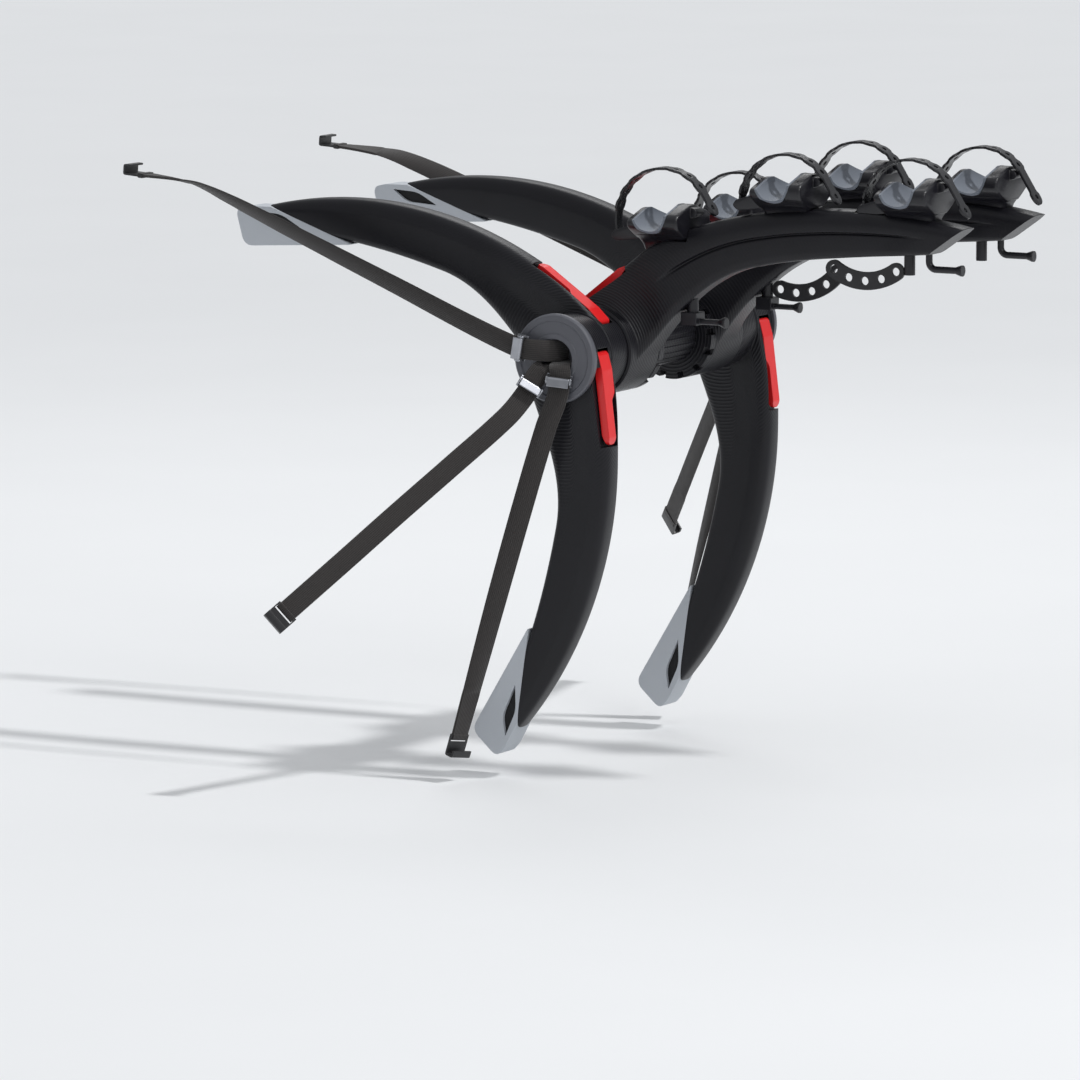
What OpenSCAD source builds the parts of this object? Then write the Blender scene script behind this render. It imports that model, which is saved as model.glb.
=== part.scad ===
// Carrier for three cycles that straps onto the back of a vehicle.
// A ribbed tube carries six hubs: two carrying arms and four bowed legs, each locked by a red cam lever.
// X runs along the tube to the right, Y towards the vehicle and Z up. The origin is the middle of the tube.
// Every side part is drawn on the left, at its own plane along X, and mirrored for the right.

/* [Main tube] */
// Outer diameter of the tube that every hub turns on
tube_d = 64; // [62:1:70]
// Wall of the tube
tube_wall = 5; // [4:0.5:7]
// Ribbed length left bare in the middle
bare_l = 122; // [110:1:140]
// Number of ribs round the bare length
rib_n = 24; // [12:1:30]
// Height of each rib
rib_h = 1; // [0.5:0.5:3]
// Width of each rib
rib_w = 4; // [2:0.5:6]
// Width of each stop ring beside the arm hubs
ring_w = 12; // [8:1:18]
// Number of notches round each stop ring
notch_n = 13; // [8:1:16]
// Width of each notch
notch_w = 8; // [5:0.5:10]
// Depth of each notch
notch_h = 8; // [4:0.5:10]

/* [Hubs] */
// Outer diameter of the leg hubs
hub_d = 100; // [96:1:110]
// Outer diameter of the arm hubs and their stop rings
arm_hub_d = 107; // [104:1:107]
// Length along the tube that each arm hub takes
arm_hub_w = 73; // [70:1:85]
// Length along the tube that each leg hub takes
leg_w = 42; // [38:1:50]
// Gap between neighbouring hubs
hub_gap = 0.6; // [0.4:0.1:1.2]
// Radial running clearance of hubs and pins
run_clear = 0.08; // [0.04:0.01:0.1]
// Clearance of parts that seat on each other without turning
seat_clear = 0.3; // [0.2:0.05:0.5]

/* [End caps] */
// Diameter of the cap flange
cap_d = 106; // [102:1:116]
// Thickness of the cap flange
cap_t = 8; // [5:0.5:12]
// Diameter of the hole that the straps come out of
cap_hole_d = 46; // [40:1:48]
// Depth of the cap inside the tube
cap_plug_l = 26; // [18:1:40]
// Height of the raised rings on the cap's face
cap_step = 1.2; // [0.6:0.2:2]
// Width of the raised rings on the cap's face
cap_rim_w = 6; // [3:0.5:9]
// Thickness of the wall that the straps are anchored to
cap_web_t = 4; // [3:0.5:6]

/* [Legs] */
// Radius of the leg's outer edge
leg_arc_r = 500; // [460:5:560]
// Depth of the leg past the flare
leg_depth = 62; // [54:1:68]
// Depth that the leg loses over each taper step
leg_taper = 8.3; // [5:0.1:9]
// Angle along the outer edge over which the leg flares into its hub
leg_flare = 26; // [22:1:30]
// Angle along the outer edge where the foot's flat starts
foot_start = 44; // [42:0.5:46]
// Slant of the foot's flat to the leg's own axis
foot_slant = 23; // [20:0.5:25]
// Width of the leg's rounded back
leg_back_w = 20; // [12:1:28]
// Turn of the lower legs
lower_turn = -15; // [-25:0.5:-5]
// Turn of the upper legs
upper_turn = -47; // [-57:0.5:-37]

/* [Feet] */
// Width of each rubber foot
foot_w = 38; // [30:1:40]
// Length of each foot along the leg's flat
foot_l = 163; // [150:1:168]
// Reach of each foot out from the leg's flat
foot_reach = 58; // [52:1:64]
// Depth of the window pressed into each side
foot_window_depth = 7; // [3:0.5:10]

/* [Arms] */
// Reach of the arm tip behind the tube
arm_reach = 470; // [455:5:500]
// Height of the arm tip above the tube
arm_rise = 163; // [150:1:175]
// Width of the arm past the hub
arm_w = 42; // [38:1:50]
// Distance of the arm's inner side from the inner end of its hub
arm_inset = 3.5; // [2:0.5:6]
// Distance of the arm's straight root edge from the tube's axis
arm_root_r = 62; // [60:1:66]
// Slope of the root edge that carries the arm's lever
arm_lever_a = 52; // [50:0.5:54]
// Length of the straight root edge
arm_root_l = 114; // [108:1:120]
// Depth of the long panel sunk into each side
panel_depth = 3; // [1:0.5:5]

/* [Levers] */
// Width of the cam levers
lever_w = 25; // [20:1:27]
// Width of the narrow grip half
lever_grip_w = 17; // [12:1:20]
// Length of the wide half from the pin
lever_wide_l = 44; // [30:1:50]
// Length of the leg levers from the pin
leg_lever_l = 104; // [90:1:110]
// Length of the arm levers from the pin
arm_lever_l = 81; // [74:1:86]
// Height of the lever's face over its pin
lever_face = 8.5; // [7:0.5:10]
// Radius of the cam round the pin
cam_r = 6; // [5:0.25:6.5]
// Offset of the cam from the pin
cam_throw = 1.2; // [0.8:0.1:1.4]
// Diameter of the lever pins
pin_d = 5; // [3:0.5:5]
// Room past the grip's end
finger_room = 2; // [1:0.5:8]
// Distance from a lever's pin to where its channel opens to the side
side_open_from = 12; // [10:1:20]
// Length of the clamp shoes round the tube
shoe_l = 18; // [14:0.5:18]

/* [Cradles] */
// Distance of the first cradle behind the tube
cradle_first = 73; // [70:1:76]
// Distance of the last cradle ahead of the arm tip
cradle_last = 75; // [74:1:78]
// Number of cradles on each arm
cradle_n = 3; // [2:1:3]
// Width of each cradle along the carried tube
cradle_w = 88; // [70:1:94]
// Radius of the lined channel
channel_r = 20; // [18:0.5:24]
// Thickness of the rubber lining
lining_t = 3; // [2:0.5:4]
// Thickness of the front jaw
front_jaw_t = 6; // [5:0.5:9]
// Thickness of the rear jaw
rear_jaw_t = 15; // [11:0.5:16]
// Height of the front jaw's peak over the channel floor
front_jaw_h = 25; // [20:0.5:28]
// Height of the rear jaw's peak over the channel floor
rear_jaw_h = 31; // [25:0.5:34]
// Drop of each jaw from its peak to its sides
jaw_fall = 12; // [6:0.5:14]
// Thickness of the cradle under the channel
cradle_floor = 12; // [9:0.5:14]
// Height of the channel floor over the arm's top edge
cradle_lift = 13; // [11:0.5:15]

/* [Hold-down straps] */
// Distance of the strap's anchor pin ahead of the channel
anchor_y = 59; // [57:0.5:62]
// Drop of the anchor pin under the channel floor
anchor_drop = 8.5; // [7:0.5:10]
// Height of the arch's centre over the channel floor on a tight strap
tight_rise = -7; // [-7:0.5:-5]
// Height of the arch's centre over the channel floor on the loose first left strap
loose_rise = 10; // [0:0.5:14]
// Width of the strap
hold_w = 20; // [14:1:22]
// Thickness of the strap
hold_t = 3.2; // [2:0.2:4]
// Diameter of the holes along the strap
hold_hole_d = 7; // [4:0.5:9]
// Number of holes along the arch
hold_hole_n = 8; // [4:1:9]
// Straight length of the last strap's tail, past the arm's end
last_tail = 34; // [20:1:38]
// Straight length of the middle strap's tail, which stops short of the arm
middle_tail = 23; // [10:1:24]
// Straight length of the loose strap's tail, which stops short of the arm
loose_tail = 18; // [4:1:20]
// Straight length of the first tight strap's tail, which stops short of the arm
first_tail = 1; // [0.5:0.5:2]
// Diameter of the anchor pin
anchor_d = 6; // [4:0.5:7]

/* [Sway pegs and straps] */
// Diameter of the hooked pegs under the arms
peg_d = 8; // [6:0.5:9]
// Diameter of the flared end of each peg
peg_end_d = 13; // [10:0.5:14]
// Radius of the bend in each peg
peg_bend = 9; // [7:0.5:12]
// Width of the perforated sway straps
sway_w = 21; // [16:1:24]
// Thickness of the sway straps
sway_t = 4; // [3:0.5:6]
// Distance between the round ends of each sway strap
sway_chord = 80; // [70:1:84]
// Radius that each sway strap is bowed to
sway_bow_r = 70; // [60:1:90]
// Diameter of the holes in the sway straps
sway_hole_d = 10; // [6:0.5:12]
// Number of holes in each sway strap
sway_hole_n = 5; // [3:1:5]

/* [Tie-down straps] */
// Width of the webbing
web_w = 25; // [20:1:25]
// Thickness of the webbing
web_t = 1.6; // [1:0.2:2]
// Length of each buckle along its strap
buckle_l = 14; // [12:1:18]
// Height of each buckle's cheeks
buckle_h = 9; // [8:0.5:12]
// Thickness of the buckle's steel
buckle_t = 2; // [1.5:0.25:2.5]
// Length of the flat hooks
hook_l = 26; // [20:1:32]
// Thickness of the flat hooks
hook_t = 2.4; // [1.6:0.2:3]
// Depth of the hooks' lips
hook_lip = 12; // [8:1:16]

/* [Hidden] */
$fn = 64;

// Colours
black_plastic = "#26262a";
lever_red = "#d8232a";
cap_grey = "#6d7078";
foot_grey = "#a9afb6";
pad_grey = "#8b9099";
rubber_black = "#1b1b1d";
steel = "#c9ccd0";
webbing_brown = "#2a2524";

// Planes along X and radii that several pieces share
tube_r = tube_d / 2;
hub_r = hub_d / 2;
arm_hub_r = arm_hub_d / 2;
bore_r = tube_r + run_clear;
plug_r = tube_r - tube_wall;
arm_start = bare_l / 2 + ring_w;
arm_hub_x = arm_start + arm_hub_w / 2;
arm_x = arm_start + arm_inset + arm_w / 2;
upper_x = arm_start + arm_hub_w + leg_w / 2;
lower_x = upper_x + leg_w;
tube_half = lower_x + leg_w / 2;
tiny = 0.05;
root_sink = 0.4;

// Lever seats: the pin lies this far under the limb's outer edge
pin_sink = 5.4;
leg_pin_r = hub_r - pin_sink;
arm_pin_r = arm_root_r - pin_sink;
leg_lever_tilt = 12;
leg_lever_lean = 4;
lever_side_gap = 0.4;
lever_under = 2.5;
shoe_gap = 0.2;
shoe_lift = 0.15;

// Blending helpers
function mix(a, b, t) = a + (b - a) * t;
function clamp01(t) = min(1, max(0, t));
function ease(t) = (1 - cos(180 * clamp01(t))) / 2;
function bezier(p, t) = pow(1 - t, 3) * p[0] + 3 * t * pow(1 - t, 2) * p[1]
  + 3 * t * t * (1 - t) * p[2] + pow(t, 3) * p[3];
function unit(v) = v / norm(v);

// A polygon with its corners turned into arcs of the given radii
corner_steps = 6;
function corner(a, b, c, r) = let(
    u = unit(a - b), v = unit(c - b),
    half = acos(u * v) / 2,
    centre = b + unit(u + v) * r / sin(half),
    from = b + u * r / tan(half) - centre,
    to = b + v * r / tan(half) - centre,
    turn = (from[0] * to[1] - from[1] * to[0]) > 0 ? 180 - 2 * half : 2 * half - 180
  ) [for (i = [0:corner_steps]) let(k = turn * i / corner_steps)
      centre + [from[0] * cos(k) - from[1] * sin(k), from[0] * sin(k) + from[1] * cos(k)]];
function rounded(p, r) = let(n = len(p)) [for (i = [0:n - 1])
    each (r[i] > 0 ? corner(p[(i + n - 1) % n], p[i], p[(i + 1) % n], r[i]) : [p[i]])];

// Skin over a row of closed rings that all have the same number of points
module skin(rings) {
  n = len(rings[0]);
  last = len(rings) - 1;
  sides = [for (i = [0:last - 1], j = [0:n - 1]) let(k = (j + 1) % n, a = i * n, b = a + n)
    each [[a + j, a + k, b + k], [a + j, b + k, b + j]]];
  ends = [[for (j = [n - 1:-1:0]) j], [for (j = [0:n - 1]) last * n + j]];
  polyhedron([for (ring = rings) each ring], concat(sides, ends));
}

// Extrudes an outline drawn in Y and Z by a width along X
module slab(width) {
  rotate([90, 0, 90]) linear_extrude(width, center = true) children();
}

module x_rod(r, width) {
  rotate([0, 90, 0]) cylinder(r = r, h = width, center = true);
}

module right() {
  mirror([1, 0, 0]) children();
}

// Places along X and turns about the tube, on the left
module at_lower() {
  translate([-lower_x, 0, 0]) rotate([lower_turn, 0, 0]) children();
}

module at_upper() {
  translate([-upper_x, 0, 0]) rotate([upper_turn, 0, 0]) rotate([0, 180, 0]) children();
}

module at_arm() {
  translate([-arm_x, 0, 0]) children();
}

module at_arm_hub() {
  translate([-arm_hub_x, 0, 0]) children();
}

// Lever seat frames: Y points out of the limb, Z runs from the pin to the grip
module leg_lever_seat() {
  rotate([leg_lever_tilt, 0, 0]) translate([0, -leg_pin_r, 0]) rotate([180 - leg_lever_lean, 0, 0]) children();
}

module arm_lever_seat() {
  rotate([arm_lever_a, 0, 0]) translate([0, arm_pin_r, 0]) children();
}

// Main tube, ribbed along its bare middle
module main_tube() {
  rib_base = 1;
  color(black_plastic) difference() {
    union() {
      x_rod(tube_r, 2 * tube_half);
      for (i = [0:rib_n - 1])
        rotate([i * 360 / rib_n, 0, 0])
          translate([seat_clear - bare_l / 2, -rib_w / 2, tube_r - rib_base])
            cube([bare_l - 2 * seat_clear, rib_w, rib_h + rib_base]);
    }
    x_rod(plug_r, 2 * tube_half + 2);
  }
}

// Notched rings fixed on the tube beside the arm hubs
module stop_ring() {
  difference() {
    x_rod(arm_hub_r, ring_w);
    x_rod(tube_r + tiny, 2 * ring_w);
    for (i = [0:notch_n - 1])
      rotate([i * 360 / notch_n, 0, 0])
        translate([-ring_w, -notch_w / 2, arm_hub_r - notch_h]) cube([2 * ring_w, notch_w, notch_h + 1]);
  }
}

module stop_rings() {
  color(black_plastic) for (s = [-1, 1])
    translate([s * (bare_l + ring_w) / 2, 0, 0]) stop_ring();
}

// End cap: a flange, a plug in the tube and the wall that the straps are sewn to
module end_cap_left() {
  cap_hole_r = cap_hole_d / 2;
  cap_r = cap_d / 2;
  edge = 2;
  face = -cap_t - hub_gap / 2;
  color(cap_grey) translate([-tube_half, 0, 0]) rotate([0, 90, 0]) rotate_extrude() polygon([
    [cap_hole_r, face + cap_step],
    [cap_hole_r + cap_step, face],
    [cap_hole_r + cap_rim_w, face],
    [cap_hole_r + cap_rim_w + cap_step, face + cap_step],
    [cap_r - edge - cap_rim_w - cap_step, face + cap_step],
    [cap_r - edge - cap_rim_w, face],
    [cap_r - edge, face],
    [cap_r, face + edge],
    [cap_r, -hub_gap / 2],
    [tube_r, -hub_gap / 2],
    [tube_r, 0],
    [plug_r - tiny, 0],
    [plug_r - tiny, cap_plug_l],
    [0, cap_plug_l],
    [0, cap_plug_l - cap_web_t],
    [cap_hole_r, cap_plug_l - cap_web_t]
  ]);
}

// Leg: bowed section lofted along its outer edge, in a frame with the arc's centre on +Y
leg_centre = leg_arc_r - hub_r + root_sink;
leg_stations = 22;
leg_end = 58;
leg_half_w = (leg_w - hub_gap) / 2 - seat_clear;
taper_step = 15;
function leg_point(psi, m) = [leg_centre - (leg_arc_r - m) * cos(psi), -(leg_arc_r - m) * sin(psi)];
function leg_depth_at(psi) = psi < leg_flare
  ? leg_depth + (hub_d - 2 * root_sink - leg_depth) * (1 + cos(180 * psi / leg_flare)) / 2
  : leg_depth - leg_taper * pow((psi - leg_flare) / taper_step, 2);

// A limb's section from its left and right halves, each as [half width, share of depth]
function limb_ring(outer, inner, left, right) = let(n = len(left)) concat(
    [for (i = [n - 1:-1:0]) let(p = mix(outer, inner, left[i][1])) [-left[i][0], p[0], p[1]]],
    [for (i = [0:n - 1]) let(p = mix(outer, inner, right[i][1])) [right[i][0], p[0], p[1]]]);

function leg_half_section(psi) = let(
    w = leg_half_w - 2 * ease((psi - leg_flare) / 30),
    back = mix(w - 1, leg_back_w / 2, ease((psi - 2) / 14))
  ) [[back, 0], [mix(back, w, 0.62), 0.07], [w, 0.32], [w, 0.92], [w - 4, 1]];

module leg_loft() {
  skin([for (i = [0:leg_stations]) let(psi = leg_end * i / leg_stations, d = leg_depth_at(psi))
    limb_ring(leg_point(psi, 0), leg_point(psi, d), leg_half_section(psi), leg_half_section(psi))]);
}

// The foot's flat: Y points out of it to the vehicle, Z runs back up the leg
module foot_frame() {
  start = leg_point(foot_start, leg_depth_at(foot_start));
  translate([0, start[0], start[1]]) rotate([foot_slant, 0, 0]) children();
}

// Room for a lever and its shoe. side_l opens it to one side, so that fingers reach the grip.
module lever_channel(pin_r, lever_l, hole_l, side_l) {
  room = lever_w / 2 + lever_side_gap;
  pocket = shoe_l / 2 + lever_side_gap;
  translate([-room, -lever_under, -pocket]) cube([2 * room, hub_r, lever_l + finger_room + pocket]);
  translate([-room, tube_r / 2 - pin_r, -pocket]) cube([2 * room, pin_r - tube_r / 2, 2 * pocket]);
  translate([-room - side_l, -lever_under, side_open_from])
    cube([side_l + room, hub_r, lever_l + finger_room - side_open_from]);
  x_rod(pin_d / 2, hole_l);
}

module leg() {
  difference() {
    union() {
      x_rod(hub_r, leg_w - hub_gap);
      leg_loft();
    }
    x_rod(bore_r, 2 * leg_w);
    leg_lever_seat() lever_channel(leg_pin_r, leg_lever_l, leg_w + 2, leg_w);
    foot_frame() translate([-leg_w, 0, -2 * foot_l]) cube([2 * leg_w, foot_l, 3 * foot_l]);
  }
}

module lower_leg_left() { color(black_plastic) at_lower() leg(); }
module upper_leg_left() { color(black_plastic) at_upper() leg(); }

// Rubber foot on the leg's flat, with a leaf-shaped window in each side.
// Corners are shares of the foot's reach and length, measured down from its top.
foot_top = 0.086 * foot_l;
function foot_corner(out, down) = [out * foot_reach, foot_top - down * foot_l];
function foot_outline() = rounded([
    foot_corner(0, 0), foot_corner(1, 0.84), foot_corner(0.36, 1),
    foot_corner(0.19, 0.91), foot_corner(0, 0.73)
  ], [3, 9, 10, 3, 0]);
function window_outline() = rounded([
    foot_corner(0.14, 0.44), foot_corner(0.345, 0.69), foot_corner(0.22, 0.835), foot_corner(0.05, 0.63)
  ], [1.5, 12, 2, 12]);

module foot() {
  color(foot_grey) foot_frame() difference() {
    slab(foot_w) polygon(foot_outline());
    for (s = [-1, 1])
      translate([s * foot_w / 2, 0, 0]) slab(2 * foot_window_depth) polygon(window_outline());
  }
}

module lower_foot_left() { at_lower() foot(); }
module upper_foot_left() { at_upper() foot(); }

// Arm: outer and inner edges as curves in Y and Z, lofted from hub to tip
arm_root = arm_root_r * [cos(arm_lever_a), sin(arm_lever_a)];
arm_along = [-sin(arm_lever_a), cos(arm_lever_a)];
arm_knee = arm_root + arm_root_l * arm_along;
arm_tip = [-arm_reach, arm_rise];
arm_chin = arm_tip + [45, -32];
arm_top = [arm_knee, [-130, 170], arm_tip + [170, 35], arm_tip];
arm_web = [[-38, -32], [-70, 20], [-124, 95], [-205, 107]];
arm_belly = [[-205, 107], [-260, 120], arm_chin + [85, -7], arm_chin];
arm_web_split = 0.36;
arm_belly_from = 0.45;
arm_half_w = arm_w / 2;
arm_hub_out = arm_start + arm_hub_w - arm_x - hub_gap / 2 - seat_clear;
arm_hub_in = arm_x - arm_start - hub_gap / 2 - seat_clear;
root_stations = 7;
beam_stations = 13;

function arm_inner(v) = v < arm_belly_from
  ? bezier(arm_web, mix(arm_web_split, 1, v / arm_belly_from))
  : bezier(arm_belly, (v - arm_belly_from) / (1 - arm_belly_from));

// Half section of the arm: crowned back, side wall, then the sunk panel
function arm_half_section(w, back, sink) = [
    [back, 0], [mix(back, w, 0.62), 0.07], [w, 0.25], [w, 0.45],
    [w - sink, 0.49], [w - sink, 0.9], [w - sink - 4, 1]];

// The root narrows from the hub's own ends, which lie further from the arm on its outer side
function arm_root_half(k, hub_half) = let(
    w = mix(hub_half, arm_half_w + 2, ease(k * 1.1))
  ) arm_half_section(w, mix(w - 3, 16, ease(k * 1.2)), 0);

function arm_root_ring(k) = limb_ring(
  mix(arm_root, arm_knee, k), bezier(arm_web, arm_web_split * k),
  arm_root_half(k, arm_hub_out), arm_root_half(k, arm_hub_in));

function arm_beam_ring(v) = let(
    w = mix(arm_half_w + 2, arm_half_w, ease(v * 5)),
    back = mix(16, 11, ease(v * 4)),
    sink = panel_depth * ease(v * 6) * ease((0.94 - v) * 10),
    half = arm_half_section(w, back, sink)
  ) limb_ring(bezier(arm_top, v), arm_inner(v), half, half);

module arm_loft() {
  skin(concat(
    [for (i = [0:root_stations - 1]) arm_root_ring(i / root_stations)],
    [for (i = [0:beam_stations]) arm_beam_ring(i / beam_stations)]));
}

// Cradle places along the arm: the channel floor stands a fixed height over the top edge
function top_share(y, lo = 0, hi = 1, n = 24) = let(t = (lo + hi) / 2)
  n == 0 ? t : (bezier(arm_top, t)[0] > y ? top_share(y, t, hi, n - 1) : top_share(y, lo, t, n - 1));
cradle_pitch = (arm_reach - cradle_first - cradle_last) / 2;
function cradle_y(i) = -cradle_first - i * cradle_pitch;
function cradle_z(i) = bezier(arm_top, top_share(cradle_y(i)))[1] + cradle_lift;

cradle_rear = channel_r + lining_t + rear_jaw_t;
cradle_front = channel_r + lining_t + front_jaw_t;
cradle_foot_w = 40;

module at_cradle(i) {
  at_arm() translate([0, cradle_y(i), cradle_z(i)]) children();
}

// Flat seat for one cradle: a boss up to the seat, and the room above it
module cradle_boss() {
  boss_back = 12;
  translate([-cradle_foot_w / 2 + 2, boss_back - cradle_rear, -cradle_floor - 20])
    cube([cradle_foot_w - 4, cradle_rear - 4, 20]);
}

module cradle_room() {
  translate([-cradle_w, -cradle_rear - seat_clear, -cradle_floor])
    cube([2 * cradle_w, cradle_rear + cradle_front + 2 * seat_clear, 2 * hub_r]);
  ear_room = ear_gap + ear_t + seat_clear;
  translate([-ear_room, cradle_front, anchor_z - eye_r - 1])
    cube([2 * ear_room, anchor_y + eye_r + 1 - cradle_front, 2 * hub_r]);
}

// Sockets for the pegs under the arm: [Y, underside Z]
front_peg_y = -110;
stub_y = -393;
rear_peg_y = -418;
peg_socket_l = 16;
stub_d = 13;
bracket_d = 14;
front_peg_z = 68;
stub_z = 129;
rear_peg_z = 131;
rear_peg_drop = 18;
rear_peg_reach = 34;
stub_drop = 24;

module peg_sockets() {
  translate([0, front_peg_y, 0]) cylinder(d = bracket_d + 2 * tiny, h = front_peg_z + peg_socket_l);
  translate([0, stub_y, 0]) cylinder(d = stub_d + 2 * tiny, h = stub_z + peg_socket_l);
  translate([0, rear_peg_y, 0]) cylinder(d = peg_d + 2 * tiny, h = rear_peg_z + peg_socket_l);
}

module arm_left() {
  color(black_plastic) difference() {
    union() {
      at_arm_hub() x_rod(arm_hub_r, arm_hub_w - hub_gap);
      at_arm() arm_loft();
      for (i = [0:cradle_n - 1]) at_cradle(i) cradle_boss();
    }
    at_arm_hub() x_rod(bore_r, 2 * arm_hub_w);
    at_arm() arm_lever_seat() lever_channel(arm_pin_r, arm_lever_l, arm_pin_l + 4 * pin_end, arm_hub_w);
    for (i = [0:cradle_n - 1]) at_cradle(i) cradle_room();
    at_arm() peg_sockets();
  }
}

// Cam lever: wide cam end on the pin, stepped on one side to a narrow grip
module lever(lever_l) {
  edge = lever_w / 2;
  step_x = lever_grip_w - edge;
  thin = lever_face - 1.5;
  color(lever_red) difference() {
    union() {
      intersection() {
        slab(lever_w) polygon(rounded([
          [-4, 0], [-1, 9], [-1, lever_l - 12], [3, lever_l],
          [thin - 1, lever_l], [lever_face, lever_l - 8], [lever_face, 16], [cam_r, 0]
        ], [0, 6, 8, 1, 1.5, 12, 20, 0]));
        rotate([90, 0, 0]) linear_extrude(4 * lever_face, center = true) polygon(rounded([
          [-edge, -cam_r], [-edge, lever_l], [step_x, lever_l],
          [step_x, lever_wide_l + 8], [edge, lever_wide_l], [edge, -cam_r]
        ], [3, 7, 7, 6, 6, 3]));
      }
      x_rod(cam_r, lever_w);
      translate([0, -cam_throw, 0]) x_rod(cam_r, lever_w - 2);
    }
    x_rod(pin_d / 2 + run_clear, 2 * lever_w);
  }
}

module lower_lever_left() { at_lower() leg_lever_seat() lever(leg_lever_l); }
module upper_lever_left() { at_upper() leg_lever_seat() lever(leg_lever_l); }
module arm_lever_left() { at_arm() arm_lever_seat() lever(arm_lever_l); }

// Lever pins pressed into the hub beside the lever, a little short of its ends
pin_end = 2;
leg_pin_l = leg_w - hub_gap - 2 * pin_end;
arm_pin_l = 2 * (arm_hub_in - pin_end);
module lever_pin(length) { color(steel) x_rod(pin_d / 2, length); }
module lower_lever_pin_left() { at_lower() leg_lever_seat() lever_pin(leg_pin_l); }
module upper_lever_pin_left() { at_upper() leg_lever_seat() lever_pin(leg_pin_l); }
module arm_lever_pin_left() { at_arm() arm_lever_seat() lever_pin(arm_pin_l); }

// Clamp shoes between the cam and the tube
module shoe_block(pin_r) {
  reach = cam_r + cam_throw + shoe_gap;
  translate([-lever_w / 2, -pin_r, -shoe_l / 2]) cube([lever_w, pin_r - reach, shoe_l]);
}

module lower_shoe() {
  color(rubber_black) difference() {
    leg_lever_seat() shoe_block(leg_pin_r);
    x_rod(tube_r + shoe_lift, 2 * leg_w);
  }
}

module lower_clamp_shoe_left() { at_lower() lower_shoe(); }
module upper_clamp_shoe_left() { at_upper() lower_shoe(); }

module arm_clamp_shoe_left() {
  color(rubber_black) at_arm() difference() {
    arm_lever_seat() shoe_block(arm_pin_r);
    x_rod(tube_r + shoe_lift, 2 * leg_w);
  }
}

// Cradle: house-shaped jaws cut by the channel, with ears and a pin for its strap
anchor_z = -anchor_drop;
hold_end = 148;
function hold_r(rise) = norm([anchor_y, anchor_z - rise]);
function hold_start(rise) = atan2(anchor_z - rise, anchor_y);
eye_r = anchor_d / 2 + 3.5;
ear_t = 4;
ear_gap = hold_w / 2 + seat_clear;

module jaw_outline(peak) {
  polygon([
    [-cradle_foot_w / 2, -cradle_floor], [cradle_foot_w / 2, -cradle_floor],
    [cradle_w / 2, 3], [cradle_w / 2, peak - jaw_fall], [5, peak], [-5, peak],
    [-cradle_w / 2, peak - jaw_fall], [-cradle_w / 2, 3]
  ]);
}

// Extrudes an outline drawn in X and Z from one Y to another
module along_y(from, to) {
  translate([0, to, 0]) rotate([90, 0, 0]) linear_extrude(to - from) children();
}

module jaw_blocks(rear, front) {
  along_y(-rear, 0) jaw_outline(rear_jaw_h);
  along_y(-tiny, front) jaw_outline(front_jaw_h);
}

module channel(r, width) {
  translate([0, 0, channel_r]) x_rod(r, width);
  translate([-width / 2, -r, channel_r]) cube([width, 2 * r, 2 * hub_r]);
}

module strap_ears() {
  ear_back = cradle_front - front_jaw_t / 2;
  for (s = [-1, 1])
    translate([s * (ear_gap + ear_t / 2), 0, 0]) slab(ear_t) polygon(rounded([
      [ear_back, -cradle_floor], [anchor_y, anchor_z - eye_r], [anchor_y + eye_r, anchor_z],
      [anchor_y, anchor_z + eye_r], [ear_back, 8]
    ], [0, 4, 4, 4, 0]));
  translate([0, anchor_y, anchor_z]) x_rod(anchor_d / 2, 2 * ear_gap + ear_t);
}

// Lip behind the rear jaw that the strap is pulled down over
module strap_lip() {
  lip_z = 16;
  lip_h = 12;
  intersection() {
    translate([-hold_w / 2, -hub_d, lip_z]) cube([hold_w, hub_d - cradle_rear + 2, lip_h]);
    strap_limit();
  }
}

// Everything of the cradle stays inside the tight strap's arch
module strap_limit() {
  translate([0, 0, tight_rise]) x_rod(hold_r(tight_rise) - hold_t / 2 - seat_clear, 2 * cradle_w);
}

module cradle() {
  difference() {
    intersection() {
      jaw_blocks(cradle_rear, cradle_front);
      strap_limit();
    }
    channel(channel_r + lining_t, 2 * cradle_w);
  }
  strap_ears();
  strap_lip();
}

module cradles_left() {
  color(black_plastic) for (i = [0:cradle_n - 1]) at_cradle(i) cradle();
}

// Rubber lining of a channel, peaked like the jaws
module cradle_pad() {
  lining_r = channel_r + lining_t - tiny;
  intersection() {
    jaw_blocks(lining_r, lining_r);
    difference() {
      channel(lining_r, cradle_w - 2);
      channel(channel_r, 2 * cradle_w);
    }
  }
}

module cradle_pads_left() {
  color(pad_grey) for (i = [0:cradle_n - 1]) at_cradle(i) cradle_pad();
}

// Hold-down strap: an eye on the anchor pin, a perforated arch and a free tail
module ring_arc(r, t, width, from, to) {
  rotate([from, 0, 0]) rotate([90, 0, 90]) rotate_extrude(angle = to - from)
    translate([r - t / 2, -width / 2]) square([t, width]);
}

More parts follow.
